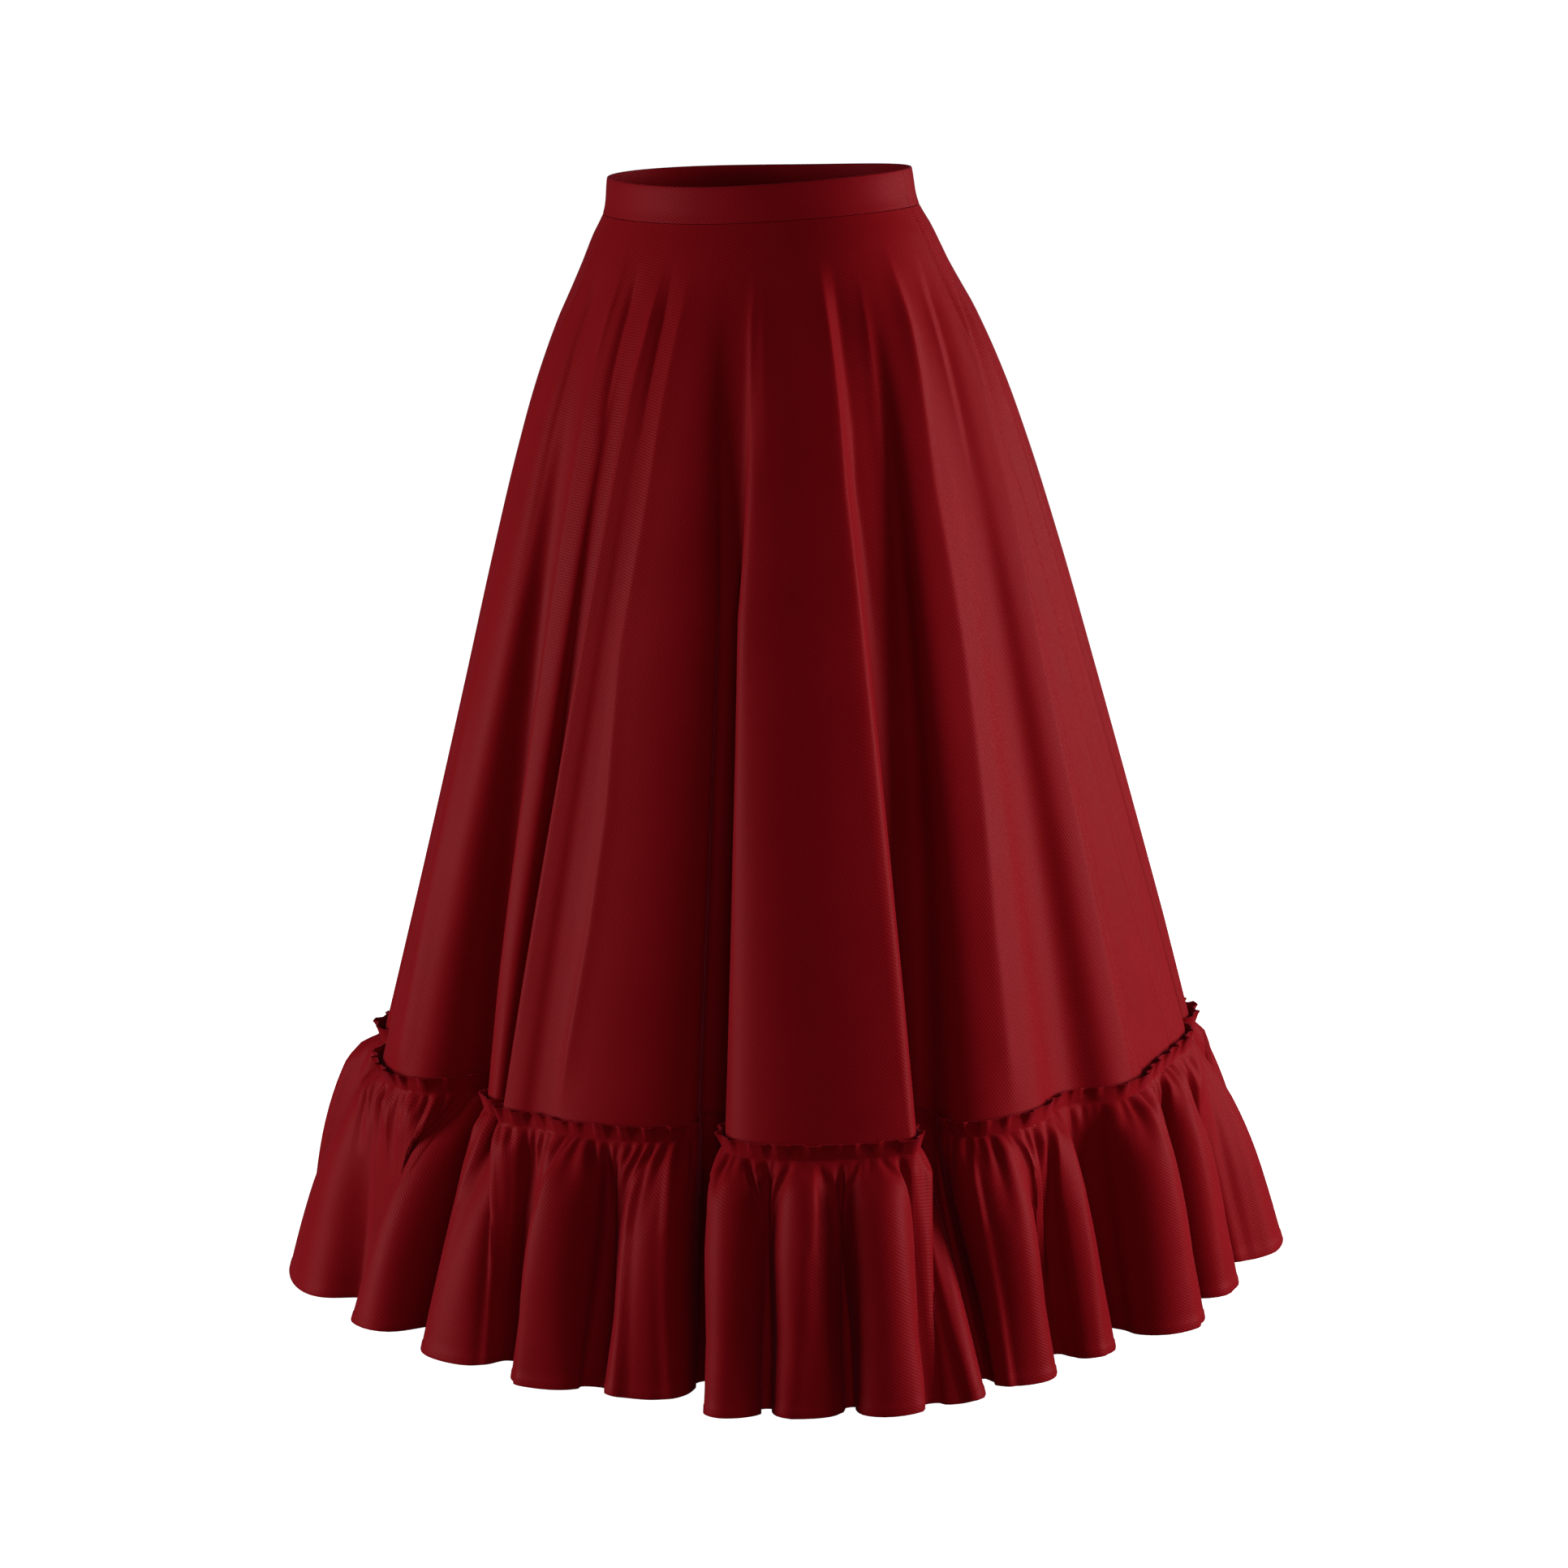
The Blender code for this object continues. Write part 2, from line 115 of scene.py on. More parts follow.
# %% The panels' flutes
FLUTE_TOP_LEVEL = -0.10
FOLD_START = -0.050
FOLD_ROUNDING = 0.06
VALLEY_HASTE = 0.60
FULL_SHAPE_GROWTH = 0.55
Flute = namedtuple("Flute", "crest_hip crest_low crest_mm "
                            "valley_hip valley_low valley_mm steep close_in close_out")
FLUTES = [
    Flute(-54, -53, 346, -36, -34.5, 264, 0.7, 0.8, -0.2),
    Flute(-26.5, -24.2, 308, -16.5, -21.7, 284, 0.9, 0.3, -0.3),
    Flute(-11.5, -19.3, 320, -7, -13, 314, 0.3, 0.3, 0.3),
    Flute(2, -4, 318, 17, 14.5, 268, 0.9, 1.2, 1.2),
    Flute(37.5, 41.5, 369, 56, 46.5, 297, 0.9, -0.4, 0.8),
    Flute(64, 56.3, 356, 75, 69, 334, 0.3, 0.2, 0.2),
    Flute(84, 78.5, 358, 89.5, 96, 346, 0.5, -0.8, 0.3),
    Flute(98.5, 102.5, 350, 104, 107.5, 338, 0.6, 0.4, 0.4),
    Flute(112, 112, 350, 124, 124, 298, 0.8, 0.8, 0.6),
    Flute(136, 135, 350, 146, 145, 286, 0.8, 0.8, 0.8),
    Flute(158, 158, 360, 169, 170, 305, 0.8, 0.7, 0.7),
    Flute(179, 180, 345, 187, 188, 318, 0.4, 0.3, 0.3),
    Flute(199, 199, 356, 212, 211, 278, 0.9, 1.0, 0.7),
    Flute(223, 222, 350, 232, 231, 312, 0.6, 0.5, 0.5),
    Flute(243, 243, 359, 256, 256, 290, 0.8, 0.7, 0.9),
    Flute(263, 263, 346, 270, 270, 318, 0.5, 0.4, 0.4),
    Flute(285, 285, 354, 295, 295, 320, 0.6, 0.4, 0.6),
]
LEFT_SEAM_FLUTE = 6
RIGHT_SEAM_FLUTE = 15
print("flutes", len(FLUTES))

# %% [markdown]
# The flounce has folds of its own, narrower than the flutes. Each row gives a crest and the
# valley after it at the hem, in degrees and millimetres, and the angle at which that valley
# leaves the stitches.

# %% The flounce's folds
BILLOW = 0.02
CREST_BILLOW = 0.18
BILLOW_HASTE = 0.75
WAVE_STEEP = 0.70
WAVE_NARROW = 0.55
WIDE_WAVE = 12.0
Wave = namedtuple("Wave", "crest crest_mm valley valley_mm valley_top")
WAVES = [
    Wave(-62, 428, -42, 358, -44),
    Wave(-38, 394, -29, 336, -33),
    Wave(-21, 389, -11, 354, -13),
    Wave(-5, 395, 3, 378, 2),
    Wave(10, 396, 16, 350, 15),
    Wave(20, 431, 24, 412, 25),
    Wave(29, 438, 33, 419, 33),
    Wave(37, 447, 41, 430, 40),
    Wave(45, 440, 47.5, 388, 48),
    Wave(54, 429, 59, 372, 58),
    Wave(65, 410, 69, 354, 69),
    Wave(78, 424, 84, 368, 86),
    Wave(91, 412, 97, 368, 98),
    Wave(108, 425, 115, 384, 112),
    Wave(120, 414, 126, 370, 124),
    Wave(135, 418, 145, 362, 145),
    Wave(152, 421, 158, 394, 157),
    Wave(164, 430, 171, 384, 170),
    Wave(177, 419, 182, 396, 181),
    Wave(187, 417, 192, 380, 189),
    Wave(200, 427, 211, 356, 211),
    Wave(216, 416, 220, 396, 221),
    Wave(225, 419, 232, 378, 231),
    Wave(239, 431, 245, 400, 245),
    Wave(249, 428, 255, 368, 256),
    Wave(262, 418, 270, 378, 270),
    Wave(276, 414, 280, 390, 281),
    Wave(285, 424, 292, 384, 294),
]
LEFT_SEAM_WAVE = 12
RIGHT_SEAM_WAVE = 25
print("flounce folds", len(WAVES))

# %% [markdown]
# Cloth pieces could be pulled out of a plane by hand, but folds that taper over 70 cm are
# easier to keep clean when each ring of points is worked out from the tables. These helpers
# read a table along a smooth curve and turn angles and radii into points.

# %% Reading the tables
def smooth_table(levels, values, level):
    """Read a table of falling levels along a smooth curve through its rows."""
    x = -np.array(levels)
    y = np.array(values)
    slopes = np.gradient(y, x)
    place = int(np.clip(np.searchsorted(x, -level, side="right") - 1, 0, len(x) - 2))
    span = x[place + 1] - x[place]
    u = (-level - x[place]) / span
    start = (1 + 2 * u) * (1 - u) ** 2 * y[place] + u * (1 - u) ** 2 * span * slopes[place]
    end = u * u * (3 - 2 * u) * y[place + 1] + u * u * (u - 1) * span * slopes[place + 1]
    return start + end


def body_radius(angle, level):
    """Radius of the smooth body, an oval, at an angle in radians from the front."""
    levels = [s.level for s in SECTIONS]
    wide = smooth_table(levels, [s.half_width for s in SECTIONS], level)
    deep = smooth_table(levels, [s.half_depth for s in SECTIONS], level)
    return wide * deep / np.sqrt((deep * np.sin(angle)) ** 2 + (wide * np.cos(angle)) ** 2)


def place_points(angle, radius, level):
    """Turn angles, radii and a level into points, with the waist line and the hem's sway."""
    fade = max(0.0, 1 + min(level, 0.0) / WAIST_LINE_FADE) ** 2
    lift = -fade * (FRONT_DIP * np.cos(angle) + SIDE_RISE * np.cos(2 * angle))
    sway = (level / HEM_LEVEL) ** 2
    x = radius * np.sin(angle) + HEM_SWAY[0] * sway
    y = -radius * np.cos(angle) + HEM_SWAY[1] * sway
    return np.stack([x, y, level + lift], axis=1)


print("waist", round(2 * body_radius(math.pi / 2, 0.0), 3), "by", round(2 * body_radius(0.0, 0.0), 3))

# %% [markdown]
# A fold is drawn from valley to crest. Its height follows a half wave, and how far round the
# cloth has gone follows the same share with two terms added, so that a valley can be narrow
# and steep while the crest stays broad, which is how a heavy cloth hangs.

# %% How a fold runs round and how it grows down the skirt
def wall_run(share, steep, narrow):
    """How far round, from valley to crest, the cloth has gone at a share of its length."""
    turned = np.pi * share
    return share + steep * np.sin(2 * turned) / (2 * np.pi) - narrow * np.sin(turned) / np.pi


def wall_rise(share):
    """How far out, from valley to crest, the cloth has gone at a share of its length."""
    return (1 - np.cos(np.pi * share)) / 2


def fold_growth(level):
    """0 above the folds, then a soft start and a straight growth to 1 at the stitches."""
    run = FOLD_START - level
    full = FOLD_START - PINCH_LEVEL
    soft = run * run / (2 * FOLD_ROUNDING) if run < FOLD_ROUNDING else run - FOLD_ROUNDING / 2
    return soft / (full - FOLD_ROUNDING / 2) if run > 0 else 0.0


def low_swell(radius_mm):
    """How far a radius at the stitches stands out from the smooth body, as a share of it."""
    return radius_mm / 1000 / PINCH_RADIUS - 1


print("growth at the knee", round(fold_growth(-0.5), 2))

# %% [markdown]
# One level of both panels at a time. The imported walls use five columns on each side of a
# flute. Cloth needs more, so that a crest rounds without corners: twenty-eight here.

# %% One ring of the panels
HALF_FLUTE_COLUMNS = 28


def panel_course(level):
    """Angles and radii of both panels' outer points at one level, all round."""
    slide = np.clip((FLUTE_TOP_LEVEL - level) / (FLUTE_TOP_LEVEL - PINCH_LEVEL), 0, 1)
    growth = fold_growth(level)
    sinking = growth ** VALLEY_HASTE
    sharp = min(1.0, sinking / FULL_SHAPE_GROWTH)
    steps = np.arange(HALF_FLUTE_COLUMNS) / HALF_FLUTE_COLUMNS
    valleys = []
    for index, flute in enumerate(FLUTES):
        following = FLUTES[(index + 1) % len(FLUTES)]
        crests = low_swell((flute.crest_mm + following.crest_mm) / 2)
        depth = crests - low_swell(flute.valley_mm)
        angle = flute.valley_hip + (flute.valley_low - flute.valley_hip) * slide
        valleys.append((angle, crests * growth - depth * sinking))
    angles = []
    swells = []
    for index, flute in enumerate(FLUTES):
        last = FLUTES[index - 1]
        before, sunk_before = valleys[index - 1]
        after, sunk_after = valleys[index]
        if index == 0:
            before -= 360
        crest = flute.crest_hip + (flute.crest_low - flute.crest_hip) * slide
        out = low_swell(flute.crest_mm) * growth
        halves = ((before, sunk_before, last.steep, last.close_out, steps),
                  (after, sunk_after, flute.steep, flute.close_in, 1 - steps))
        for valley, sunk, steep, close, share in halves:
            run = wall_run(share, steep * sharp, close * sharp)
            angles.append(valley + (crest - valley) * run)
            swells.append(sunk + (out - sunk) * wall_rise(share))
    angle = np.radians(np.concatenate(angles))
    swell = np.concatenate(swells)
    return angle, body_radius(angle, level) * (1 + swell)


def panel_ring(level):
    """Outer points of both panels at one level, all round."""
    angle, radius = panel_course(level)
    return place_points(angle, radius, level)


def run_along(points):
    """How far along a line each of its points lies, in metres."""
    steps = np.linalg.norm(np.diff(points, axis=0), axis=1)
    return np.concatenate([[0], np.cumsum(steps)])


print("columns round the panels", len(panel_ring(PINCH_LEVEL)))

# %% [markdown]
# A sheet of cloth is made from rows of points. Each point also keeps its place in the flat
# cut, in metres, as a UV map, so that the weave follows the cloth through every fold. The
# sheet is one layer, and a Solidify modifier gives it its thickness on the inner side.

# %% Sheets from rows of points
CREASE_ANGLE = 55.0


def outward_normals(grid):
    """Unit normals of a grid of rows that run all round, pointing away from the body."""
    around = np.roll(grid, -1, axis=1) - np.roll(grid, 1, axis=1)
    down = np.gradient(grid, axis=0)
    normal = np.cross(down, around)
    return normal / np.linalg.norm(normal, axis=2, keepdims=True)


def strip_faces(upper, lower):
    """Faces between two rows of vertex numbers; the lower may have half as many columns."""
    faces = []
    if len(upper) == len(lower):
        for k in range(len(lower) - 1):
            faces.append((upper[k], lower[k], lower[k + 1], upper[k + 1]))
        return faces
    for k in range(len(lower) - 1):
        faces.append((upper[2 * k], lower[k], upper[2 * k + 1]))
        faces.append((upper[2 * k + 1], lower[k], lower[k + 1]))
        faces.append((upper[2 * k + 1], lower[k + 1], upper[2 * k + 2]))
    return faces


def lone_object(name, mesh):
    """A mesh as an object of the scene, the only one selected."""
    piece = bpy.data.objects.new(name, mesh)
    bpy.context.scene.collection.objects.link(piece)
    bpy.ops.object.select_all(action="DESELECT")
    piece.select_set(True)
    bpy.context.view_layer.objects.active = piece
    return piece


def sheet_from_rows(name, rows, flats, wall):
    """One sheet with its flat cut as a UV map, given its thickness inwards."""
    faces = []
    start = 0
    numbers = []
    for row in rows:
        numbers.append(range(start, start + len(row)))
        start += len(row)
    for upper, lower in zip(numbers, numbers[1:]):
        faces.extend(strip_faces(upper, lower))
    mesh = bpy.data.meshes.new(name)
    mesh.from_pydata(np.concatenate(rows).tolist(), [], faces)
    corners = np.zeros(len(mesh.loops), dtype=np.int32)
    mesh.loops.foreach_get("vertex_index", corners)
    flat = np.concatenate(flats)[corners]
    mesh.uv_layers.new(name="flat_cut").data.foreach_set("uv", flat.astype(np.float32).ravel())
    piece = lone_object(name, mesh)
    thickness = piece.modifiers.new("thickness", "SOLIDIFY")
    thickness.thickness = wall
    thickness.offset = -1.0
    bpy.ops.object.modifier_apply(modifier=thickness.name)
    bpy.ops.object.shade_smooth_by_angle(angle=math.radians(CREASE_ANGLE))
    piece.select_set(False)
    return piece


def cut_piece(row, first, last):
    """The columns from first to last of a closed row, its ends drawn in by half a seam gap."""
    cut = row[np.arange(first, last + 1) % len(row)].copy()
    for end, inner in ((0, 1), (-1, -2)):
        along = cut[inner] - cut[end]
        cut[end] = cut[end] + along / np.linalg.norm(along) * SEAM_GAP / 2
    return cut


print("sheets are creased above", CREASE_ANGLE, "degrees")

# %% [markdown]
# Cloth is told by how light slides over it. This one is a fine twill with a little satin
# sheen: a Principled shader with hardly any gloss and a tinted sheen. Its twill lines are a
# sine across the flat cut, broken up by a fine noise, and they only reach the bump and a
# slight change of colour, because from a step away the lines are hardly seen. A broad noise
# makes colour and gloss uneven, as pressing and handling do.

# %% The cloth's finish
TWILL_PITCH = 0.0022
TWILL_LEAN = 60.0
THREAD_PITCH = 0.0013
THREAD_SHARE = 0.35
BROAD_NOISE = 14.0
CREPE_NOISE = 520.0
CREPE_SHARE = 1.6
WEAVE_RELIEF = 0.18
WEAVE_DEPTH = 0.00030
WEAVE_SHADE = 0.16
SMOOTHEST = 0.42
ROUGHNESS_SPREAD = 0.12


def link_math(tree, operation, first, second):
    """A Math node on two sockets or numbers."""
    node = tree.nodes.new("ShaderNodeMath")
    node.operation = operation
    for slot, value in ((0, first), (1, second)):
        if isinstance(value, (int, float)):
            node.inputs[slot].default_value = value
        elif value is not None:
            tree.links.new(value, node.inputs[slot])
    return node.outputs[0]


def ripple(tree, place, lean, pitch):
    """A sine of that pitch across the flat cut, leaning by that many degrees."""
    across = tree.nodes.new("ShaderNodeVectorMath")
    across.operation = "DOT_PRODUCT"
    angle = math.radians(lean)
    size = 2 * math.pi / pitch
    across.inputs[1].default_value = (math.cos(angle) * size, math.sin(angle) * size, 0.0)
    tree.links.new(place, across.inputs[0])
    return link_math(tree, "SINE", across.outputs["Value"], None)


def noise(tree, place, scale, detail):
    """Blender's noise on the flat cut; scale is in bumps for each metre."""
    node = tree.nodes.new("ShaderNodeTexNoise")
    node.inputs["Scale"].default_value = scale
    node.inputs["Detail"].default_value = detail
    tree.links.new(place, node.inputs["Vector"])
    return node.outputs["Fac"]


def cloth_finish(name, dark, light):
    """A fine twill between a darker and a lighter crimson, with a satin sheen."""
    material = bpy.data.materials.new(name)
    material.use_nodes = True
    tree = material.node_tree
    shader = tree.nodes["Principled BSDF"]
    place = tree.nodes.new("ShaderNodeUVMap")
    place.uv_map = "flat_cut"
    twill = ripple(tree, place.outputs[0], TWILL_LEAN, TWILL_PITCH)
    thread = ripple(tree, place.outputs[0], 0.0, THREAD_PITCH)
    broad = noise(tree, place.outputs[0], BROAD_NOISE, 2.0)
    crepe = noise(tree, place.outputs[0], CREPE_NOISE, 3.0)

    weave = link_math(tree, "MULTIPLY_ADD", thread, THREAD_SHARE)
    tree.links.new(twill, weave.node.inputs[2])
    grain = link_math(tree, "MULTIPLY_ADD", crepe, CREPE_SHARE)
    tree.links.new(weave, grain.node.inputs[2])
    bump = tree.nodes.new("ShaderNodeBump")
    bump.inputs["Strength"].default_value = WEAVE_RELIEF
    bump.inputs["Distance"].default_value = WEAVE_DEPTH
    tree.links.new(grain, bump.inputs["Height"])
    tree.links.new(bump.outputs[0], shader.inputs["Normal"])

    shade = link_math(tree, "MULTIPLY_ADD", weave, WEAVE_SHADE)
    tree.links.new(broad, shade.node.inputs[2])
    colours = tree.nodes.new("ShaderNodeValToRGB")
    dark_end, light_end = colours.color_ramp.elements
    dark_end.position = 0.25
    dark_end.color = dark
    light_end.position = 0.80
    light_end.color = light
    tree.links.new(shade, colours.inputs[0])
    tree.links.new(colours.outputs[0], shader.inputs["Base Color"])

    rough = link_math(tree, "MULTIPLY_ADD", broad, ROUGHNESS_SPREAD)
    rough.node.inputs[2].default_value = SMOOTHEST
    tree.links.new(rough, shader.inputs["Roughness"])
    shader.inputs["Specular IOR Level"].default_value = 0.05
    shader.inputs["Specular Tint"].default_value = (1.0, 0.03, 0.10, 1.0)
    shader.inputs["Sheen Weight"].default_value = 0.15
    shader.inputs["Sheen Roughness"].default_value = 0.32
    shader.inputs["Sheen Tint"].default_value = (1.0, 0.14, 0.26, 1.0)
    return material


panel_cloth = cloth_finish("panel_twill", (0.158, 0.0026, 0.0046, 1), (0.176, 0.0034, 0.0058, 1))
flounce_cloth = cloth_finish("flounce_twill", (0.156, 0.0026, 0.0046, 1), (0.174, 0.0034, 0.0058, 1))
band_cloth = cloth_finish("waistband_twill", (0.150, 0.0026, 0.0048, 1), (0.172, 0.0036, 0.0062, 1))
print("finishes", [m.name for m in (panel_cloth, flounce_cloth, band_cloth)])

# %% [markdown]
# The two panels. On the flutes that every level shares, the cloth has narrow ridges of its
# own, as steam and hanging leave them: most start just below the waistband, where the cloth
# first gathers itself, and run down the edges of the flutes. They are placed one by one, each
# by a line of points with a height at each. A negative height is a dip, and a dip close beside
# a ridge makes its edge crisp. At each side seam the cloth dips a little where the allowances
# are pressed back.

# %% Ridges on the panels
Ridge = namedtuple("Ridge", "left_mm right_mm line")
# Each place on a ridge's line: level, angle in degrees, height in mm
RIDGES = [
    Ridge(7, 5, ((-0.04, -58, 0), (-0.10, -57, 3.0), (-0.23, -58, 2.0), (-0.37, -56.5, 0))),
    Ridge(5, 14, ((-0.045, -49, 0), (-0.08, -47, -3.2), (-0.14, -44, -3.2), (-0.24, -42, -1.5),
        (-0.34, -41, 0))),
    Ridge(11, 4, ((-0.045, -34, 0), (-0.08, -32.5, 3.2), (-0.11, -31.2, 3.6), (-0.17, -29.5, 0))),
    Ridge(4, 11, ((-0.05, -27, 0), (-0.08, -25.5, -3.6), (-0.13, -23.5, -3.4), (-0.20, -20, 0))),
    Ridge(10, 4, ((-0.05, -14.5, 0), (-0.09, -13.4, 3.0), (-0.12, -13.4, 2.4), (-0.17, -14, 0))),
    Ridge(4, 9, ((-0.05, -10, 0), (-0.09, -9, -2.6), (-0.13, -8.5, -2.2), (-0.19, -8, 0))),
    Ridge(4, 10, ((-0.05, 50, 0), (-0.09, 49, -3.2), (-0.13, 48, -2.4), (-0.18, 47, 0))),
    Ridge(9, 5, ((-0.04, 70, 0), (-0.09, 68.5, 2.6), (-0.14, 66.5, 1.6), (-0.2, 64, 0))),
    Ridge(5, 9, ((-0.05, 82, 0), (-0.09, 80.5, -3.0), (-0.15, 78, -2.6), (-0.24, 75, 0))),
    Ridge(4, 8, ((-0.05, 98, 0), (-0.10, 96, -3.2), (-0.16, 92, -2.4), (-0.24, 88.5, 0))),
    Ridge(14, 9, ((-0.30, -51, 0), (-0.48, -48, 4.0), (-0.60, -46.5, 5.5), (-0.69, -46, 4.5),
        (-0.716, -46, 0))),
    Ridge(3, 8, ((-0.11, -31, 0), (-0.16, -29.5, 2.4), (-0.22, -28.2, 2.4),
        (-0.35, -26.9, 1.8), (-0.48, -26.4, 1.8), (-0.60, -26.4, 1.8), (-0.70, -26.6, 0))),
    Ridge(3, 8, ((-0.11, -13.6, 0), (-0.16, -14, 2.2), (-0.22, -14, 2.2),
        (-0.345, -15.2, 1.8), (-0.475, -16.4, 1.7), (-0.60, -17.7, 1.7), (-0.70, -19, 0))),
    Ridge(6, 9, ((-0.055, -2, 0), (-0.092, -2.2, 2.0), (-0.22, -3.5, 1.3), (-0.34, -6, 1.5),
        (-0.467, -5, 2.0), (-0.56, -6, 2.2), (-0.657, -8, 2.4), (-0.705, -9, 0))),
    Ridge(3, 7, ((-0.055, 23.5, 0), (-0.094, 22.3, 2.0), (-0.22, 21.8, 1.4), (-0.34, 19.8, 1.0),
        (-0.5, 18.8, 0.8), (-0.70, 18.5, 0))),
    Ridge(5, 8, ((-0.06, 26.5, 0), (-0.10, 26, 1.5), (-0.16, 25.5, 0.8), (-0.22, 25, 0))),
    Ridge(9, 3, ((-0.05, 46.5, 0), (-0.096, 45.2, 4.0), (-0.16, 43.8, 3.5), (-0.22, 42.6, 3.0),
        (-0.343, 42.4, 2.2), (-0.467, 42.2, 1.8), (-0.60, 42.3, 1.7), (-0.70, 42.5, 0))),
    Ridge(4, 6, ((-0.12, 49, 0), (-0.22, 46.4, -2.6), (-0.30, 46.8, -1.2), (-0.36, 47, 0))),
    Ridge(5, 6, ((-0.06, 58, 0), (-0.10, 56.5, 2.2), (-0.17, 54, 1.5), (-0.24, 53, 0))),
    Ridge(10, 8, ((-0.05, 69.5, 0), (-0.102, 67.8, 4.0), (-0.16, 65, 3.4), (-0.226, 63, 3.0),
        (-0.35, 62.2, 2.6), (-0.477, 60.3, 2.6), (-0.57, 58.5, 2.4), (-0.663, 57.5, 2.2),
        (-0.71, 57.3, 0))),
    Ridge(5, 6, ((-0.06, 79, 0), (-0.105, 77, 2.0), (-0.17, 75.5, 1.2), (-0.25, 75, 0))),
    Ridge(10, 3, ((-0.05, 93.5, 0), (-0.11, 91.2, 3.4), (-0.17, 86.5, 3.2), (-0.236, 83.8, 2.8),
        (-0.365, 81.2, 2.3), (-0.494, 80.2, 2.1), (-0.593, 79.5, 2.0),
        (-0.689, 78.8, 1.4), (-0.715, 78.8, 0))),
    Ridge(8, 3, ((-0.16, 89.5, 0), (-0.24, 91, 1.8), (-0.375, 92.2, 2.0), (-0.508, 92.5, 2.0),
        (-0.612, 94, 1.7), (-0.70, 95, 0))),
]
HIDDEN_RIDGES = ((7, 2.2), (8, 3.0), (9, 1.8), (10, 2.6), (11, 1.6), (12, 3.2), (13, 2.0),
                 (14, 2.8), (15, 1.7), (16, 2.4))     # flute, height in mm at the hip
for index, high in HIDDEN_RIDGES:
    flute = FLUTES[index]
    half = (flute.crest_hip + flute.crest_low) / 2
    line = ((-0.052, flute.crest_hip, 0), (-0.10, flute.crest_hip, high),
            (-0.25, flute.crest_hip, high * 0.8), (-0.45, half, high * 0.6),
            (-0.62, flute.crest_low, high * 0.5), (-0.705, flute.crest_low, 0))
    RIDGES.append(Ridge(4 + index % 5, 9 - index % 4, line))
RIDGE_POINT = 1.4           # 2 would round the ridge's top, 1 would make it a sharp edge
SEAM_DIP = 0.0008
SEAM_DIP_WIDTH = 0.0030
PANEL_ROWS = 96


def ridge_height(angle, radius, level):
    """How far the ridges lift the cloth at one level, all round."""
    lift = np.zeros_like(angle)
    for ridge in RIDGES:
        down = [-place[0] for place in ridge.line]
        if not down[0] < -level < down[-1]:
            continue
        middle = math.radians(np.interp(-level, down, [place[1] for place in ridge.line]))
        height = np.interp(-level, down, [place[2] for place in ridge.line]) / 1000
        away = (angle - middle + math.pi) % (2 * math.pi) - math.pi
        width = np.where(away < 0, ridge.left_mm, ridge.right_mm) / 1000
        lift += height * np.exp(-np.abs(away * radius / width) ** RIDGE_POINT)
    return lift


def seam_dip(ring, columns):
    """How far the cloth dips at the side seams, by its distance from them."""
    step = np.linalg.norm(np.roll(ring, -1, axis=0) - ring, axis=1)
    run = np.concatenate([[0], np.cumsum(step)[:-1]])
    dip = np.zeros(len(ring))
    for column in columns:
        dip += SEAM_DIP * np.exp(-((run - run[column]) / SEAM_DIP_WIDTH) ** 2)
    return dip


per_flute = 2 * HALF_FLUTE_COLUMNS
left_column = (LEFT_SEAM_FLUTE + 1) * per_flute
right_column = (RIGHT_SEAM_FLUTE + 1) * per_flute
panel_top = BAND_BOTTOM - SEAM_GAP / 2
levels = np.linspace(panel_top, PINCH_LEVEL, PANEL_ROWS)
courses = [panel_course(level) for level in levels]
panel_grid = np.array([place_points(a, r, z) for (a, r), z in zip(courses, levels)])
lifts = [ridge_height(a, r, z) for (a, r), z in zip(courses, levels)]
dips = [seam_dip(ring, (left_column, right_column)) for ring in panel_grid]
panel_grid += outward_normals(panel_grid) * (np.array(lifts) - np.array(dips))[:, :, None]
print("ridges", len(RIDGES), "most lift", round(float(np.max(lifts)) * 1000, 2), "mm")

# %% [markdown]
# In the flat, each panel is nearly a quarter of a ring: its short edge goes to the waistband, its
# long edge to the flounce. The UV map unrolls it so: how far down a column is the radius, and
# its share of the long edge is the angle. The weave then runs straight at the middle of the
# panel and on the bias towards its seams, as it does on a skirt cut in quarters.

# %% The front and back panels
def panel_flat(rows):
    """Places in the flat cut of a panel: a sector of a ring, in metres."""
    grid = np.array(rows)
    down = np.linalg.norm(np.diff(grid, axis=0), axis=2).mean(axis=1)
    length = down.sum()
    edges = [np.linalg.norm(np.diff(row, axis=0), axis=1) for row in (grid[0], grid[-1])]
    short, long = (edge.sum() for edge in edges)
    angle = (long - short) / length
    inner = short / angle
    radius = inner + np.concatenate([[0], np.cumsum(down)])
    share = np.concatenate([[0], np.cumsum(edges[1])]) / long - 0.5
    flats = [np.stack([r * np.sin(share * angle), -r * np.cos(share * angle)], axis=1) for r in radius]
    outer = inner + length
    width = 2 * outer * math.sin(angle / 2)
    height = outer - inner * math.cos(angle / 2)
    return flats, width, height, (short + long) / 2 * length


total_columns = len(FLUTES) * per_flute
PANEL_CUTS = (("panel_front", right_column - total_columns, left_column),
              ("panel_back", left_column, right_column))
for node, first, last in PANEL_CUTS:
    rows = [cut_piece(ring, first, last) for ring in panel_grid]
    flats, width, height, area = panel_flat(rows)
    piece = sheet_from_rows(node + "_cloth", rows, flats, WALL)
    piece.data.materials.append(panel_cloth)
    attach(piece, "root")
    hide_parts(node)
    print(node, "cut", round(width, 3), "by", round(height, 3), "m, area", round(area, 3))

# %% [markdown]
# The flounce hangs from the panels' own line at the stitches, moved out by its thickness. Its
# columns are spread by gathers, so the line is first cut at every fold and every gather.

# %% The line of gathering stitches
GATHER_PITCH = 0.0215
COLUMNS_PER_GATHER = 20


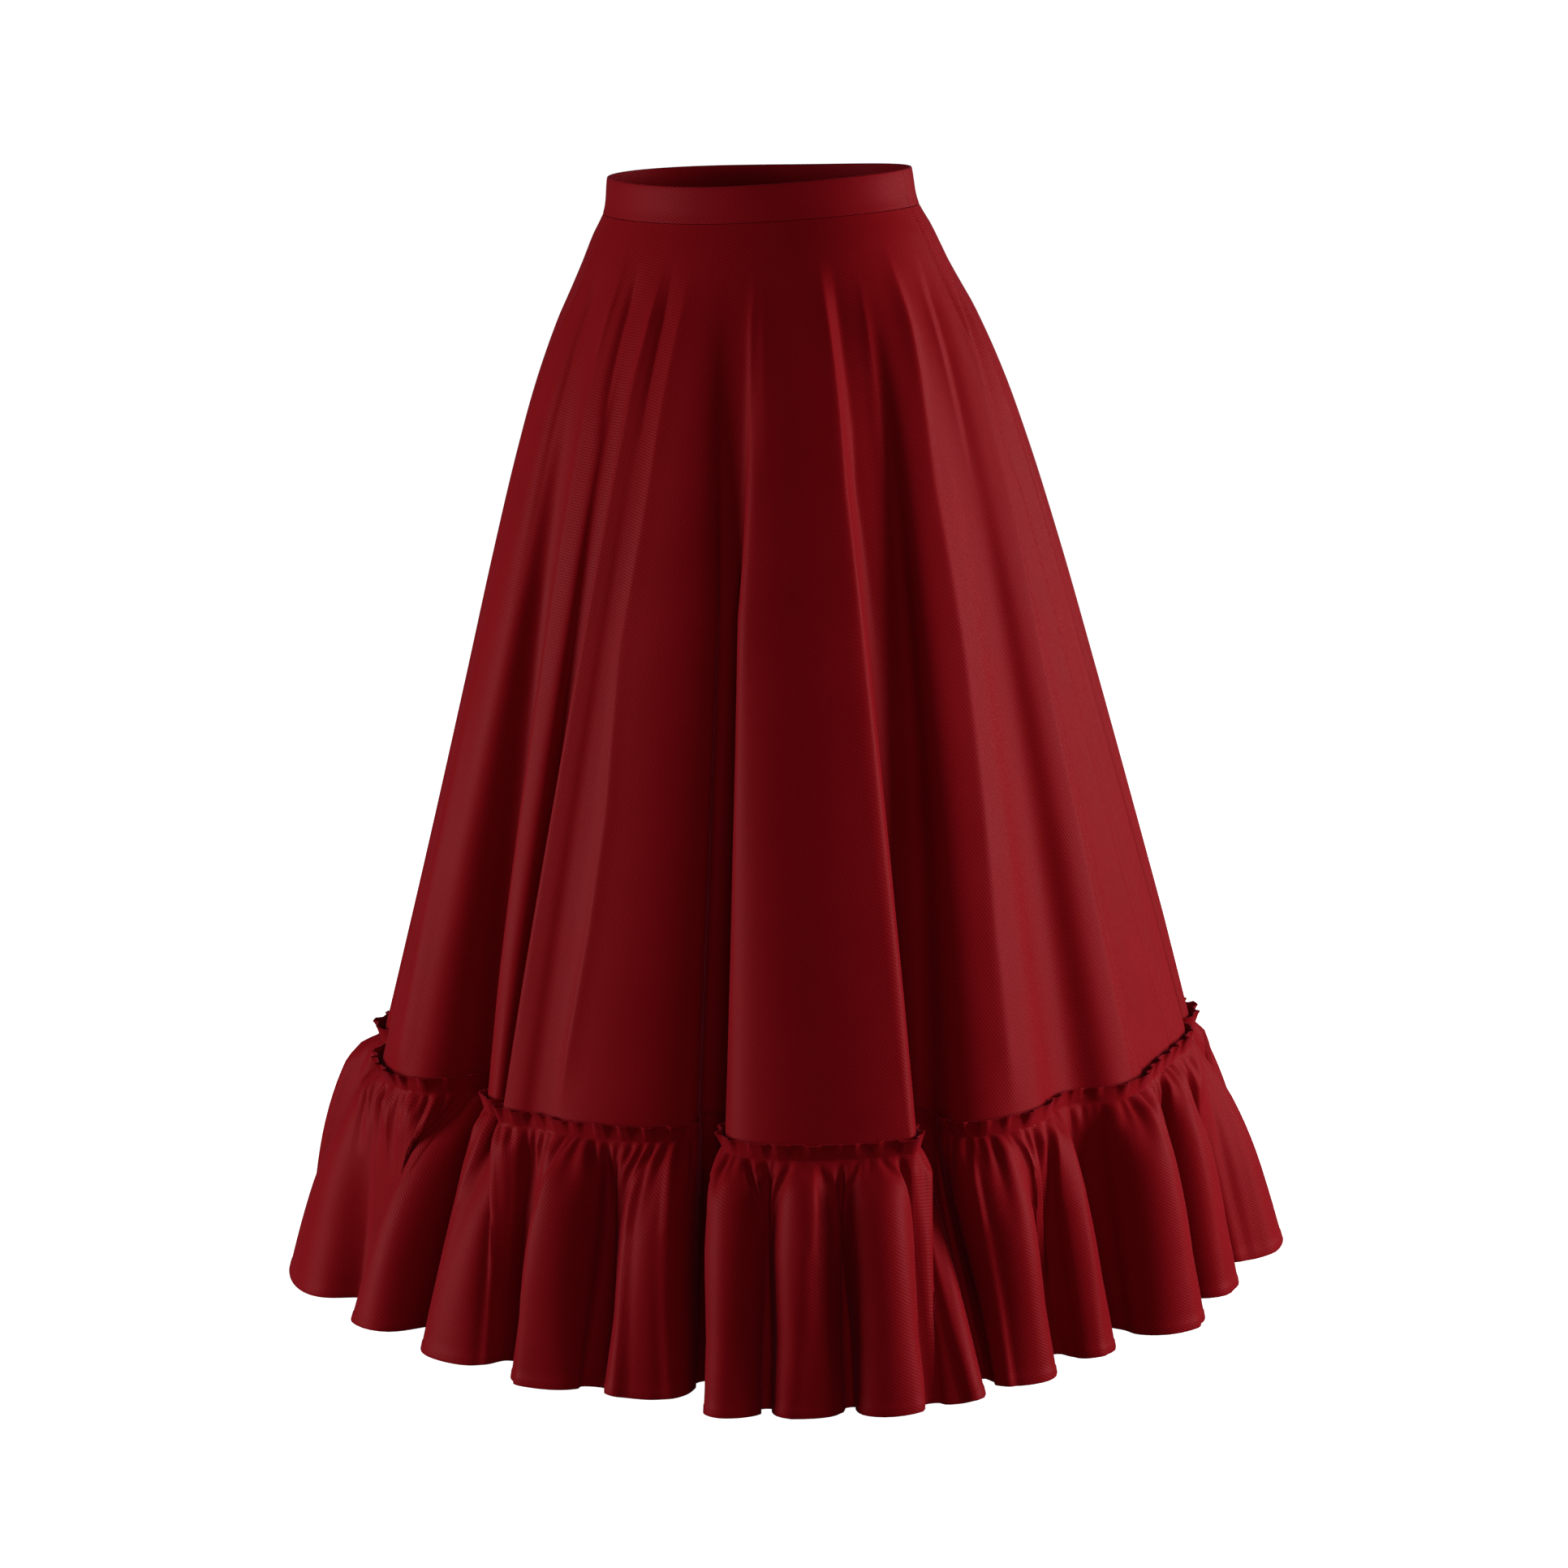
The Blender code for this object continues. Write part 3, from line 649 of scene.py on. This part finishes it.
def pinch_line():
    """The panels' outer line at the stitches, closed: its points, each point's run along it
    and the greatest angle reached so far, in degrees."""
    ring = panel_ring(PINCH_LEVEL)
    closed = np.vstack([ring, ring[:1]])
    run = run_along(closed)
    angle = np.degrees(panel_course(PINCH_LEVEL)[0])
    reached = np.maximum.accumulate(np.append(angle, angle[0] + 360))
    return closed, run, reached


def pinch_offsets(closed):
    """At each point of the line, the step that moves both its edges out by one unit."""
    edge = np.diff(closed, axis=0)
    after = np.stack([edge[:, 1], -edge[:, 0], np.zeros(len(edge))], axis=1)
    after /= np.linalg.norm(after, axis=1, keepdims=True)
    before = np.roll(after, 1, axis=0)
    corner = (before + after) / (1 + np.sum(before * after, axis=1, keepdims=True))
    return np.vstack([corner, corner[:1]])


def flounce_columns(run, reached):
    """Each column's run along the stitches, its fold, its share of the fold, its gather."""
    columns = []
    starts = []
    gather = 0
    for index, wave in enumerate(WAVES):
        begin_angle = WAVES[index - 1].valley_top - (360 if index == 0 else 0)
        begin, crest, end = np.interp((begin_angle, wave.crest, wave.valley_top), reached, run)
        gathers = max(2, round((end - begin) / GATHER_PITCH))
        count = gathers * COLUMNS_PER_GATHER
        starts.append(len(columns))
        for step in range(count):
            place = begin + (end - begin) * step / count
            share = np.interp(place, (begin, crest, end), (0, 0.5, 1))
            columns.append((place, index, share, gather + step / COLUMNS_PER_GATHER))
        gather += gathers
    starts.append(len(columns))
    return np.array(columns), starts


closed, run, reached = pinch_line()
columns, starts = flounce_columns(run, reached)
offsets = pinch_offsets(closed)
stitch_line = np.stack([np.interp(columns[:, 0], run, closed[:, k]) for k in range(3)], axis=1)
line_out = np.stack([np.interp(columns[:, 0], run, offsets[:, k]) for k in range(3)], axis=1)
print("stitch line", round(float(run[-1]), 3), "m, gathers", round(columns[-1, 3]))

# %% [markdown]
# Down the flounce, each column runs from the line to its own place at the hem. It doesn't run
# straight: crests bow out and valleys bow in, because the strip is longer than the line.

# %% The flounce's folds from stitches to hem
def wave_size(index):
    """Narrow folds stand out less: 1 for a wide fold, less for one under 12 degrees."""
    index %= len(WAVES)
    begin = WAVES[index - 1].valley - (360 if index == 0 else 0)
    return min(1.0, (WAVES[index].valley - begin) / WIDE_WAVE)


def flounce_hem(wave_index, share):
    """Angle in radians and radius at the hem, and how the fold bows: 1 crest, -1 valley."""
    wave = WAVES[wave_index]
    last = WAVES[wave_index - 1]
    lap = -360 if wave_index == 0 else 0
    if share < 0.5:
        part = 2 * share
        valley = last.valley + lap
        valley_mm = last.valley_mm
        near = wave_index - 1
    else:
        part = 2 - 2 * share
        valley = wave.valley
        valley_mm = wave.valley_mm
        near = (wave_index + 1) % len(WAVES)
    angle = valley + (wave.crest - valley) * wall_run(part, WAVE_STEEP, WAVE_NARROW)
    rise = wall_rise(part)
    shallow = min(wave_size(wave_index), wave_size(near))
    fullness = shallow + (wave_size(wave_index) - shallow) * rise
    radius = (valley_mm + (wave.crest_mm - valley_mm) * rise) / 1000
    return math.radians(angle), radius, (2 * rise - 1) * fullness


hem_marks = [flounce_hem(int(index), share) for _, index, share, _ in columns]
hem_angle, hem_radius, crest_bow = (np.array(marks) for marks in zip(*hem_marks))
hem_line = place_points(hem_angle, hem_radius, HEM_LEVEL)
base_line = stitch_line + line_out * (LAP_GAP + WALL)
FROM_STITCHES = PINCH_LEVEL - HEM_LEVEL
print("hem", round(float(run_along(hem_line)[-1]), 3), "m round")

# %% [markdown]
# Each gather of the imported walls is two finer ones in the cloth, of uneven width. Between
# them the thread pulls the cloth into tucks. A tuck is deep just under the stitches and opens
# out further down, after a short or a long way, and the cloth between two tucks puffs out.

# %% The gathers
GATHER_SEED = 11
PUFF_HEIGHT = 0.0100
PUFF_ROUNDING = 0.013
PUFF_FADE = 0.130
TUCK_WIDTH = 0.0034
TUCK_WIDENING = 16.0        # how many times wider for each metre down
TUCK_REACHES = [0.018, 0.028, 0.042, 0.062, 0.095]
TUCK_SHARES = [0.22, 0.28, 0.24, 0.16, 0.10]
TUCK_CURVE = 0.7
TUCK_DEPTHS = (0.45, 1.0)
GATHER_SPLITS = (0.30, 0.74)
OPEN_REACH = 20             # columns, each way
OPEN_TURN = 1.1
OPEN_SOFTENING = 10         # columns


def fine_gathers(gather, chance):
    """Each column's fine gather and how far it is from that gather's two tucks."""
    split = chance.uniform(*GATHER_SPLITS, int(np.ceil(gather[-1])))
    whole = np.floor(gather).astype(int)
    part = gather - whole
    middle = split[whole]
    second = part >= middle
    from_left = np.where(second, part - middle, part) * GATHER_PITCH
    to_right = np.where(second, 1 - part, middle - part) * GATHER_PITCH
    return 2 * whole + second, from_left, to_right


def openness(line, reach, turn_limit, softening):
    """1 along the open stretches of a closed line, falling to 0 in the floor of a valley."""
    ahead = np.roll(line, -reach, axis=0) - line
    behind = line - np.roll(line, reach, axis=0)
    turned = np.cross(behind, ahead)[:, 2]
    turned /= np.linalg.norm(ahead, axis=1) * np.linalg.norm(behind, axis=1)
    hollow = np.clip(-turned / turn_limit, 0, 1)
    spread = np.max([np.roll(hollow, shift) for shift in range(-reach, reach + 1, 2)], axis=0)
    soft = [np.roll(spread, shift) for shift in range(-softening, softening + 1)]
    return 1 - np.mean(soft, axis=0)


def puffed(depth):
    """How far the gathers stand out from the smooth flounce at a depth below the stitches."""
    rise = min(1.0, depth / PUFF_ROUNDING) ** TUCK_CURVE
    height = PUFF_HEIGHT * rise * max(0.0, 1 - depth / PUFF_FADE)
    width = TUCK_WIDTH * (1 + TUCK_WIDENING * depth)
    lift = np.ones(len(number))
    for tuck, away in ((number, from_left), ((number + 1) % tuck_count, to_right)):
        left_over = np.clip(1 - depth / tuck_reach[tuck], 0, 1) ** TUCK_CURVE * tuck_depth[tuck]
        lift *= 1 - left_over * np.exp(-(away / width) ** 2)
    return height * lift * free


chance = np.random.default_rng(GATHER_SEED)
number, from_left, to_right = fine_gathers(columns[:, 3], chance)
tuck_count = int(number[-1]) + 1
tuck_reach = chance.choice(TUCK_REACHES, tuck_count, p=TUCK_SHARES)
tuck_depth = chance.uniform(*TUCK_DEPTHS, tuck_count)
free = openness(stitch_line, OPEN_REACH, OPEN_TURN, OPEN_SOFTENING)
print("fine gathers", tuck_count)

# %% [markdown]
# Lower down, the gathers join into pleats: broad raised stretches with one crisp edge, where
# the cloth turns under, and one soft edge. They are placed one by one where they show, by
# their distance along the stitches, and similar ones follow round the back.

# %% Pleats that run down to the hem
Pleat = namedtuple("Pleat", "left_top left_low right_top right_low left_mm right_mm high_mm")
PLEATS = [
    Pleat(0.100, 0.102, 0.206, 0.214, 14, 8, 4.0),
    Pleat(0.372, 0.370, 0.400, 0.396, 9, 9, 4.5),
    Pleat(0.448, 0.450, 0.480, 0.482, 3, 14, 6.0),
    Pleat(0.493, 0.517, 0.524, 0.530, 4, 5, 5.5),
    Pleat(0.538, 0.549, 0.570, 0.574, 5, 4, 5.0),
    Pleat(0.662, 0.656, 0.700, 0.697, 8, 3, 6.5),
    Pleat(0.712, 0.719, 0.743, 0.735, 7, 3, 6.5),
    Pleat(0.750, 0.750, 0.757, 0.758, 4, 4, 2.5),
    Pleat(0.766, 0.771, 0.807, 0.798, 5, 3, 6.5),
    Pleat(0.860, 0.892, 0.924, 0.934, 12, 3, 6.0),
    Pleat(0.945, 0.952, 0.966, 0.967, 6, 3, 5.0),
    Pleat(0.996, 1.013, 1.016, 1.026, 6, 3, 5.5),
    Pleat(1.038, 1.041, 1.058, 1.054, 7, 3, 5.0),
    Pleat(1.110, 1.111, 1.142, 1.141, 9, 4, 5.5),
    Pleat(1.203, 1.205, 1.220, 1.219, 7, 4, 4.5),
]
PLEATS_BEGIN = 1.27
PLEAT_GROWTH = 0.030
LAST_PLEAT = 0.06
PLEAT_WIDTHS = (0.018, 0.045)
PLEAT_GAPS = (0.014, 0.040)
PLEAT_DRIFT = 0.006
PLEAT_HEIGHTS_MM = (4.0, 6.5)
CRISP_MM = 3
SOFT_MM = 9


def hidden_pleats(first, last, chance):
    """Pleats of uneven width one after the other between two places along the stitches."""
    pleats = []
    place = first
    while place < last - LAST_PLEAT:
        wide = chance.uniform(*PLEAT_WIDTHS)
        drift = chance.uniform(-PLEAT_DRIFT, PLEAT_DRIFT, 2)
        crisp_left = chance.random() < 0.5
        edges = (CRISP_MM, SOFT_MM) if crisp_left else (SOFT_MM, CRISP_MM)
        pleats.append(Pleat(place, place + drift[0], place + wide, place + wide + drift[1],
                            edges[0], edges[1], chance.uniform(*PLEAT_HEIGHTS_MM)))
        place += wide + chance.uniform(*PLEAT_GAPS)
    return pleats


def ramp(value):
    """0 below 0, 1 above 1, and a smooth step between."""
    share = np.clip(value, 0, 1)
    return share * share * (3 - 2 * share)


def pleated(depth):
    """How far the pleats stand out at a depth below the stitches."""
    share = depth / FROM_STITCHES
    lift = np.zeros(len(columns))
    for pleat in PLEATS:
        left = pleat.left_top + (pleat.left_low - pleat.left_top) * share
        right = pleat.right_top + (pleat.right_low - pleat.right_top) * share
        rise = ramp((columns[:, 0] - left) * 1000 / pleat.left_mm + 0.5)
        fall = ramp((right - columns[:, 0]) * 1000 / pleat.right_mm + 0.5)
        lift = np.maximum(lift, pleat.high_mm / 1000 * rise * fall)
    return lift * ramp(depth / PLEAT_GROWTH) * (free + (1 - free) * share)


PLEATS += hidden_pleats(PLEATS_BEGIN, float(run[-1]), chance)
print("pleats", len(PLEATS))

# %% [markdown]
# Above the stitches the same gathers open into the frill. Every second one stands out and the
# next one stays back, and where they meet the cloth doubles over itself, so that the upper
# edge runs in small S-shaped bends. The edge is rolled and sewn, so its last millimetre
# stands out a little.

# %% The frill
FRILL_HEIGHT = 0.014
FRILL_WAVE = 0.0064
FRILL_LEAN = 0.0004
FRILL_TURN = 0.0024
FRILL_OVERLAP = 0.0050
FRILL_DROP = 0.0014
FRILL_OUT = (0.55, 1.0)
FRILL_BACK = (0.0, 0.30)
FRILL_FLARE = 1.1
FRILL_IN_VALLEYS = 0.25     # the share of the wave that is left there
EDGE_ROLL = 0.0003
EDGE_ROLL_HEIGHT = 0.0010


def step_between(values):
    """A value for each column: its gather's own, turning halfway to the next near the tucks."""
    own = values[number]
    before = values[(number - 1) % tuck_count]
    after = values[(number + 1) % tuck_count]
    near_left = 1 - ramp(from_left / FRILL_TURN)
    near_right = 1 - ramp(to_right / FRILL_TURN)
    return own + (before - own) * near_left / 2 + (after - own) * near_right / 2


stand = chance.uniform(*FRILL_OUT, tuck_count)
stand[1::2] = chance.uniform(*FRILL_BACK, len(stand[1::2]))
frill_stand = step_between(stand)
frill_drop = step_between(chance.uniform(0.0, 1.0, tuck_count))
facing = stand[(number + 1) % tuck_count] - stand[number]
behind = stand[number] - stand[(number - 1) % tuck_count]
middle_right = (stand[(number + 1) % tuck_count] + stand[number]) / 2
middle_left = (stand[number] + stand[(number - 1) % tuck_count]) / 2
fold_back = -(frill_stand - middle_right) * np.sign(facing) * np.exp(-(to_right / FRILL_TURN) ** 2)
fold_back -= (frill_stand - middle_left) * np.sign(behind) * np.exp(-(from_left / FRILL_TURN) ** 2)
line_along = np.roll(stitch_line, -1, axis=0) - np.roll(stitch_line, 1, axis=0)
line_along /= np.linalg.norm(line_along, axis=1, keepdims=True)


def frill_row(height):
    """The frill at a height above the stitches: it stands out in steps that double over."""
    share = height / FRILL_HEIGHT
    room = FRILL_IN_VALLEYS + (1 - FRILL_IN_VALLEYS) * free
    out = FRILL_LEAN * share + FRILL_WAVE * frill_stand * share ** FRILL_FLARE * room
    if height > FRILL_HEIGHT - EDGE_ROLL_HEIGHT:
        out = out + EDGE_ROLL
    side = FRILL_OVERLAP * fold_back * share * free
    row = base_line + line_out * out[:, None] + line_along * side[:, None]
    row[:, 2] = PINCH_LEVEL + height - FRILL_DROP * frill_drop * share ** 2
    return row


# %% [markdown]
# Rows near the stitches are close together and carry every column. Lower down, where the
# gathers have faded, every second column is enough. The hem is rolled: the last 7 mm stand
# out by half a millimetre.

# %% Rows of the flounce
FRILL_ROWS = (0.0140, 0.0137, 0.0131, 0.0120, 0.0100, 0.0075, 0.0050, 0.0025)
FINE_DEPTHS = (0.0, 0.0015, 0.0035, 0.0060, 0.0090, 0.0130, 0.0180, 0.0240, 0.0310, 0.0390,
               0.0480, 0.0580)
BROAD_DEPTHS = (0.0690, 0.0810, 0.0930, 0.1050, 0.1170, 0.1290, 0.1400, 0.1500, 0.1600, 0.1690,
                0.1755, 0.1768, 0.1776, 0.1800, 0.1822, 0.1830)
HEM_ROLL_START = 0.1760
HEM_ROLL = 0.0005
HEM_EDGE = 0.1825           # below this the roll turns in
HEM_EDGE_SHARE = 0.3


def flounce_row(depth):
    """The smooth flounce at a depth below the stitches."""
    share = depth / FROM_STITCHES
    bow = (BILLOW + CREST_BILLOW * crest_bow) * math.sin(math.pi * share ** BILLOW_HASTE)
    row = base_line + (hem_line - base_line) * (share + bow)[:, None]
    row[:, 2] = PINCH_LEVEL - depth
    return row


depths = FINE_DEPTHS + BROAD_DEPTHS
smooth = np.array([flounce_row(depth) for depth in depths])
normals = outward_normals(smooth)
for place, depth in enumerate(depths):
    smooth[place] += normals[place] * (puffed(depth) + pleated(depth))[:, None]
    if depth > HEM_ROLL_START:
        smooth[place] += normals[place] * HEM_ROLL * (1.0 if depth < HEM_EDGE else HEM_EDGE_SHARE)
flounce_grid = [frill_row(height) for height in FRILL_ROWS] + list(smooth)
fine_rows = len(FRILL_ROWS) + len(FINE_DEPTHS)
heights = FRILL_ROWS + tuple(-depth for depth in depths)
print("rows", len(flounce_grid), "columns", len(columns))

# %% [markdown]
# The strip was straight before it was gathered, so its flat cut is a plain band: the hem's
# length one way and the height the other.

# %% The front and back flounce
left_start = starts[LEFT_SEAM_WAVE + 1]
right_start = starts[RIGHT_SEAM_WAVE + 1]
FLOUNCE_CUTS = (("flounce_front", right_start - len(columns), left_start),
                ("flounce_back", left_start, right_start))
for node, first, last in FLOUNCE_CUTS:
    rows = [cut_piece(row, first, last) for row in flounce_grid]
    along = run_along(rows[-1])
    flats = [np.stack([along, np.full(len(along), height)], axis=1) for height in heights]
    for place in range(fine_rows, len(rows)):
        rows[place] = rows[place][::2]
        flats[place] = flats[place][::2]
    piece = sheet_from_rows(node + "_cloth", rows, flats, WALL)
    piece.data.materials.append(flounce_cloth)
    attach(piece, "root")
    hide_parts(node)

# %% [markdown]
# The waistband is two layers and an interfacing, folded at the top. Its section is a long
# slim rectangle with rounded corners, so a profile is swept round the waist instead of a
# sheet being thickened.

# %% The waistband
BAND_COLUMNS = 240
BAND_CORNER = 0.0009
BAND_INNER_CORNER = 0.0004
BAND_FACE_POINTS = 9
BAND_SWELL = 0.00025


def band_profile():
    """Level and depth behind the outer face, once round the band's section."""
    top = BAND_TOP
    low = BAND_BOTTOM + SEAM_GAP / 2
    face = []
    for share in np.linspace(0, 1, BAND_FACE_POINTS):
        level = top - BAND_CORNER + (low + 2 * BAND_CORNER - top) * share
        face.append((level, -BAND_SWELL * math.sin(math.pi * share)))
    points = []
    for step in range(1, 4):
        angle = math.pi / 2 * step / 4
        points.append((top - BAND_CORNER + BAND_CORNER * math.cos(angle),
                       BAND_CORNER - BAND_CORNER * math.sin(angle)))
    points += face
    for step in range(1, 4):
        angle = math.pi / 2 * step / 4
        points.append((low + BAND_CORNER - BAND_CORNER * math.sin(angle),
                       BAND_CORNER - BAND_CORNER * math.cos(angle)))
    points.append((low, BAND_CORNER))
    points.append((low, BAND_WALL - BAND_INNER_CORNER))
    points.append((low + BAND_INNER_CORNER, BAND_WALL))
    points.append(((low + top) / 2, BAND_WALL))
    points.append((top - BAND_CORNER, BAND_WALL))
    points.append((top - BAND_CORNER * 0.3, BAND_WALL - BAND_CORNER * 0.3))
    points.append((top, BAND_CORNER))
    return points


def band_piece(name, start, end):
    """Sweep the profile from one seam's angle to the other's and close both ends."""
    angle = np.radians(np.linspace(start, end, BAND_COLUMNS + 1))
    profile = band_profile()
    mesh = bpy.data.meshes.new(name)
    shell = bmesh.new()
    flat = shell.loops.layers.uv.new("flat_cut")
    rings = []
    for level, depth in profile:
        radius = body_radius(angle, level) + BAND_PROUD
        points = place_points(angle, radius, level)
        normal = np.stack([np.sin(angle) / body_radius(math.pi / 2, level) ** 2,
                           -np.cos(angle) / body_radius(0.0, level) ** 2,
                           np.zeros(len(angle))], axis=1)
        normal /= np.linalg.norm(normal, axis=1, keepdims=True)
        ring = cut_piece(points - normal * depth, 0, BAND_COLUMNS)
        rings.append([shell.verts.new(point) for point in ring])
    along = run_along([vertex.co for vertex in rings[3]])
    down = run_along(profile)
    count = len(rings)
    for row in range(count):
        upper, lower = rings[row], rings[(row + 1) % count]
        top, low = -down[row], -(down[row + 1] if row + 1 < count else down[row] + 0.001)
        for k in range(BAND_COLUMNS):
            face = shell.faces.new((upper[k], lower[k], lower[k + 1], upper[k + 1]))
            corners = ((along[k], top), (along[k], low), (along[k + 1], low), (along[k + 1], top))
            for loop, corner in zip(face.loops, corners):
                loop[flat].uv = corner
    for k in (0, BAND_COLUMNS):
        shell.faces.new([ring[k] for ring in rings])
    bmesh.ops.recalc_face_normals(shell, faces=shell.faces)
    shell.to_mesh(mesh)
    shell.free()
    piece = lone_object(name, mesh)
    bpy.ops.object.shade_smooth_by_angle(angle=math.radians(CREASE_ANGLE))
    piece.select_set(False)
    return piece, float(along[-1])


band_left = FLUTES[LEFT_SEAM_FLUTE].valley_hip
band_right = FLUTES[RIGHT_SEAM_FLUTE].valley_hip
BAND_CUTS = (("waistband_front", band_right - 360, band_left),
             ("waistband_back", band_left, band_right))
for node, start, end in BAND_CUTS:
    piece, length = band_piece(node + "_cloth", start, end)
    piece.data.materials.append(band_cloth)
    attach(piece, "root")
    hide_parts(node)
    print(node, "length", round(length, 3), "m")

# %% [markdown]
# The floor is a wide pale disc just below the hem. It is lit but doesn't light the cloth, so
# that the folds keep their depth over it. The backdrop is the world itself.

# %% The floor and the backdrop
FLOOR_DROP = 0.012
FLOOR_RADIUS = 60.0

bpy.ops.mesh.primitive_circle_add(vertices=96, radius=FLOOR_RADIUS, fill_type="NGON",
                                  location=(0, 0, HEM_LEVEL - FLOOR_DROP))
floor = bpy.context.object
floor.name = "floor"
floor.visible_diffuse = False
floor.visible_glossy = False
pale = bpy.data.materials.new("pale_floor")
pale.use_nodes = True
pale_shader = pale.node_tree.nodes["Principled BSDF"]
pale_shader.inputs["Base Color"].default_value = (0.86, 0.86, 0.86, 1.0)
pale_shader.inputs["Roughness"].default_value = 0.9
pale_shader.inputs["Specular IOR Level"].default_value = 0.0
pale_shader.inputs["Emission Color"].default_value = (1.0, 1.0, 1.0, 1.0)
pale_shader.inputs["Emission Strength"].default_value = 1.0
floor.data.materials.append(pale)
floor.select_set(False)

world = bpy.data.worlds.new("studio")
bpy.context.scene.world = world
world.use_nodes = True
sky = world.node_tree
backdrop = sky.nodes["Background"]
backdrop.inputs["Color"].default_value = (1.0, 1.0, 1.0, 1.0)
WORLD_LIGHT = 0.03
path = sky.nodes.new("ShaderNodeLightPath")
strength = sky.nodes.new("ShaderNodeMapRange")
strength.inputs["To Min"].default_value = WORLD_LIGHT
strength.inputs["To Max"].default_value = 1.0
sky.links.new(path.outputs["Is Camera Ray"], strength.inputs["Value"])
sky.links.new(strength.outputs[0], backdrop.inputs["Strength"])
bpy.context.scene.view_settings.view_transform = "Standard"
print("floor at", round(HEM_LEVEL - FLOOR_DROP, 3), "world", WORLD_LIGHT)

# %% [markdown]
# Soft studio light: two large softboxes stand at hip height on either side of the skirt and
# graze its folds, the right one stronger. A faint one behind it draws the edge on the right, and
# a weak one in front fills the valleys. Each is placed by the camera's own right and front, so
# that the set stays with the view that it was lit for.

# %% The softboxes
Softbox = namedtuple("Softbox", "name right front up size watts")
SOFTBOXES = [
    Softbox("key", 2.95, 0.40, -0.1, 1.2, 118.0),
    Softbox("rim", 2.6, -1.3, 0.1, 1.4, 14.0),
    Softbox("fill", -2.95, 0.30, -0.1, 1.2, 84.0),
    Softbox("front", 0.3, 3.2, 0.4, 1.4, 24.0),
]
LIGHT_AIM = Vector((0.0, 0.0, -0.45))

toward = Vector((CAMERA_PLACE[0], CAMERA_PLACE[1], 0.0)).normalized()
rightward = Vector((-toward.y, toward.x, 0.0))
for box in SOFTBOXES:
    spot = rightward * box.right + toward * box.front + Vector((0.0, 0.0, box.up))
    aim = (LIGHT_AIM - spot).to_track_quat("-Z", "Y").to_euler()
    bpy.ops.object.light_add(type="AREA", location=spot, rotation=aim)
    lamp = bpy.context.object
    lamp.name = "softbox_" + box.name
    lamp.data.size = box.size
    lamp.data.energy = box.watts
    lamp.select_set(False)
print("softboxes", [box.name for box in SOFTBOXES])
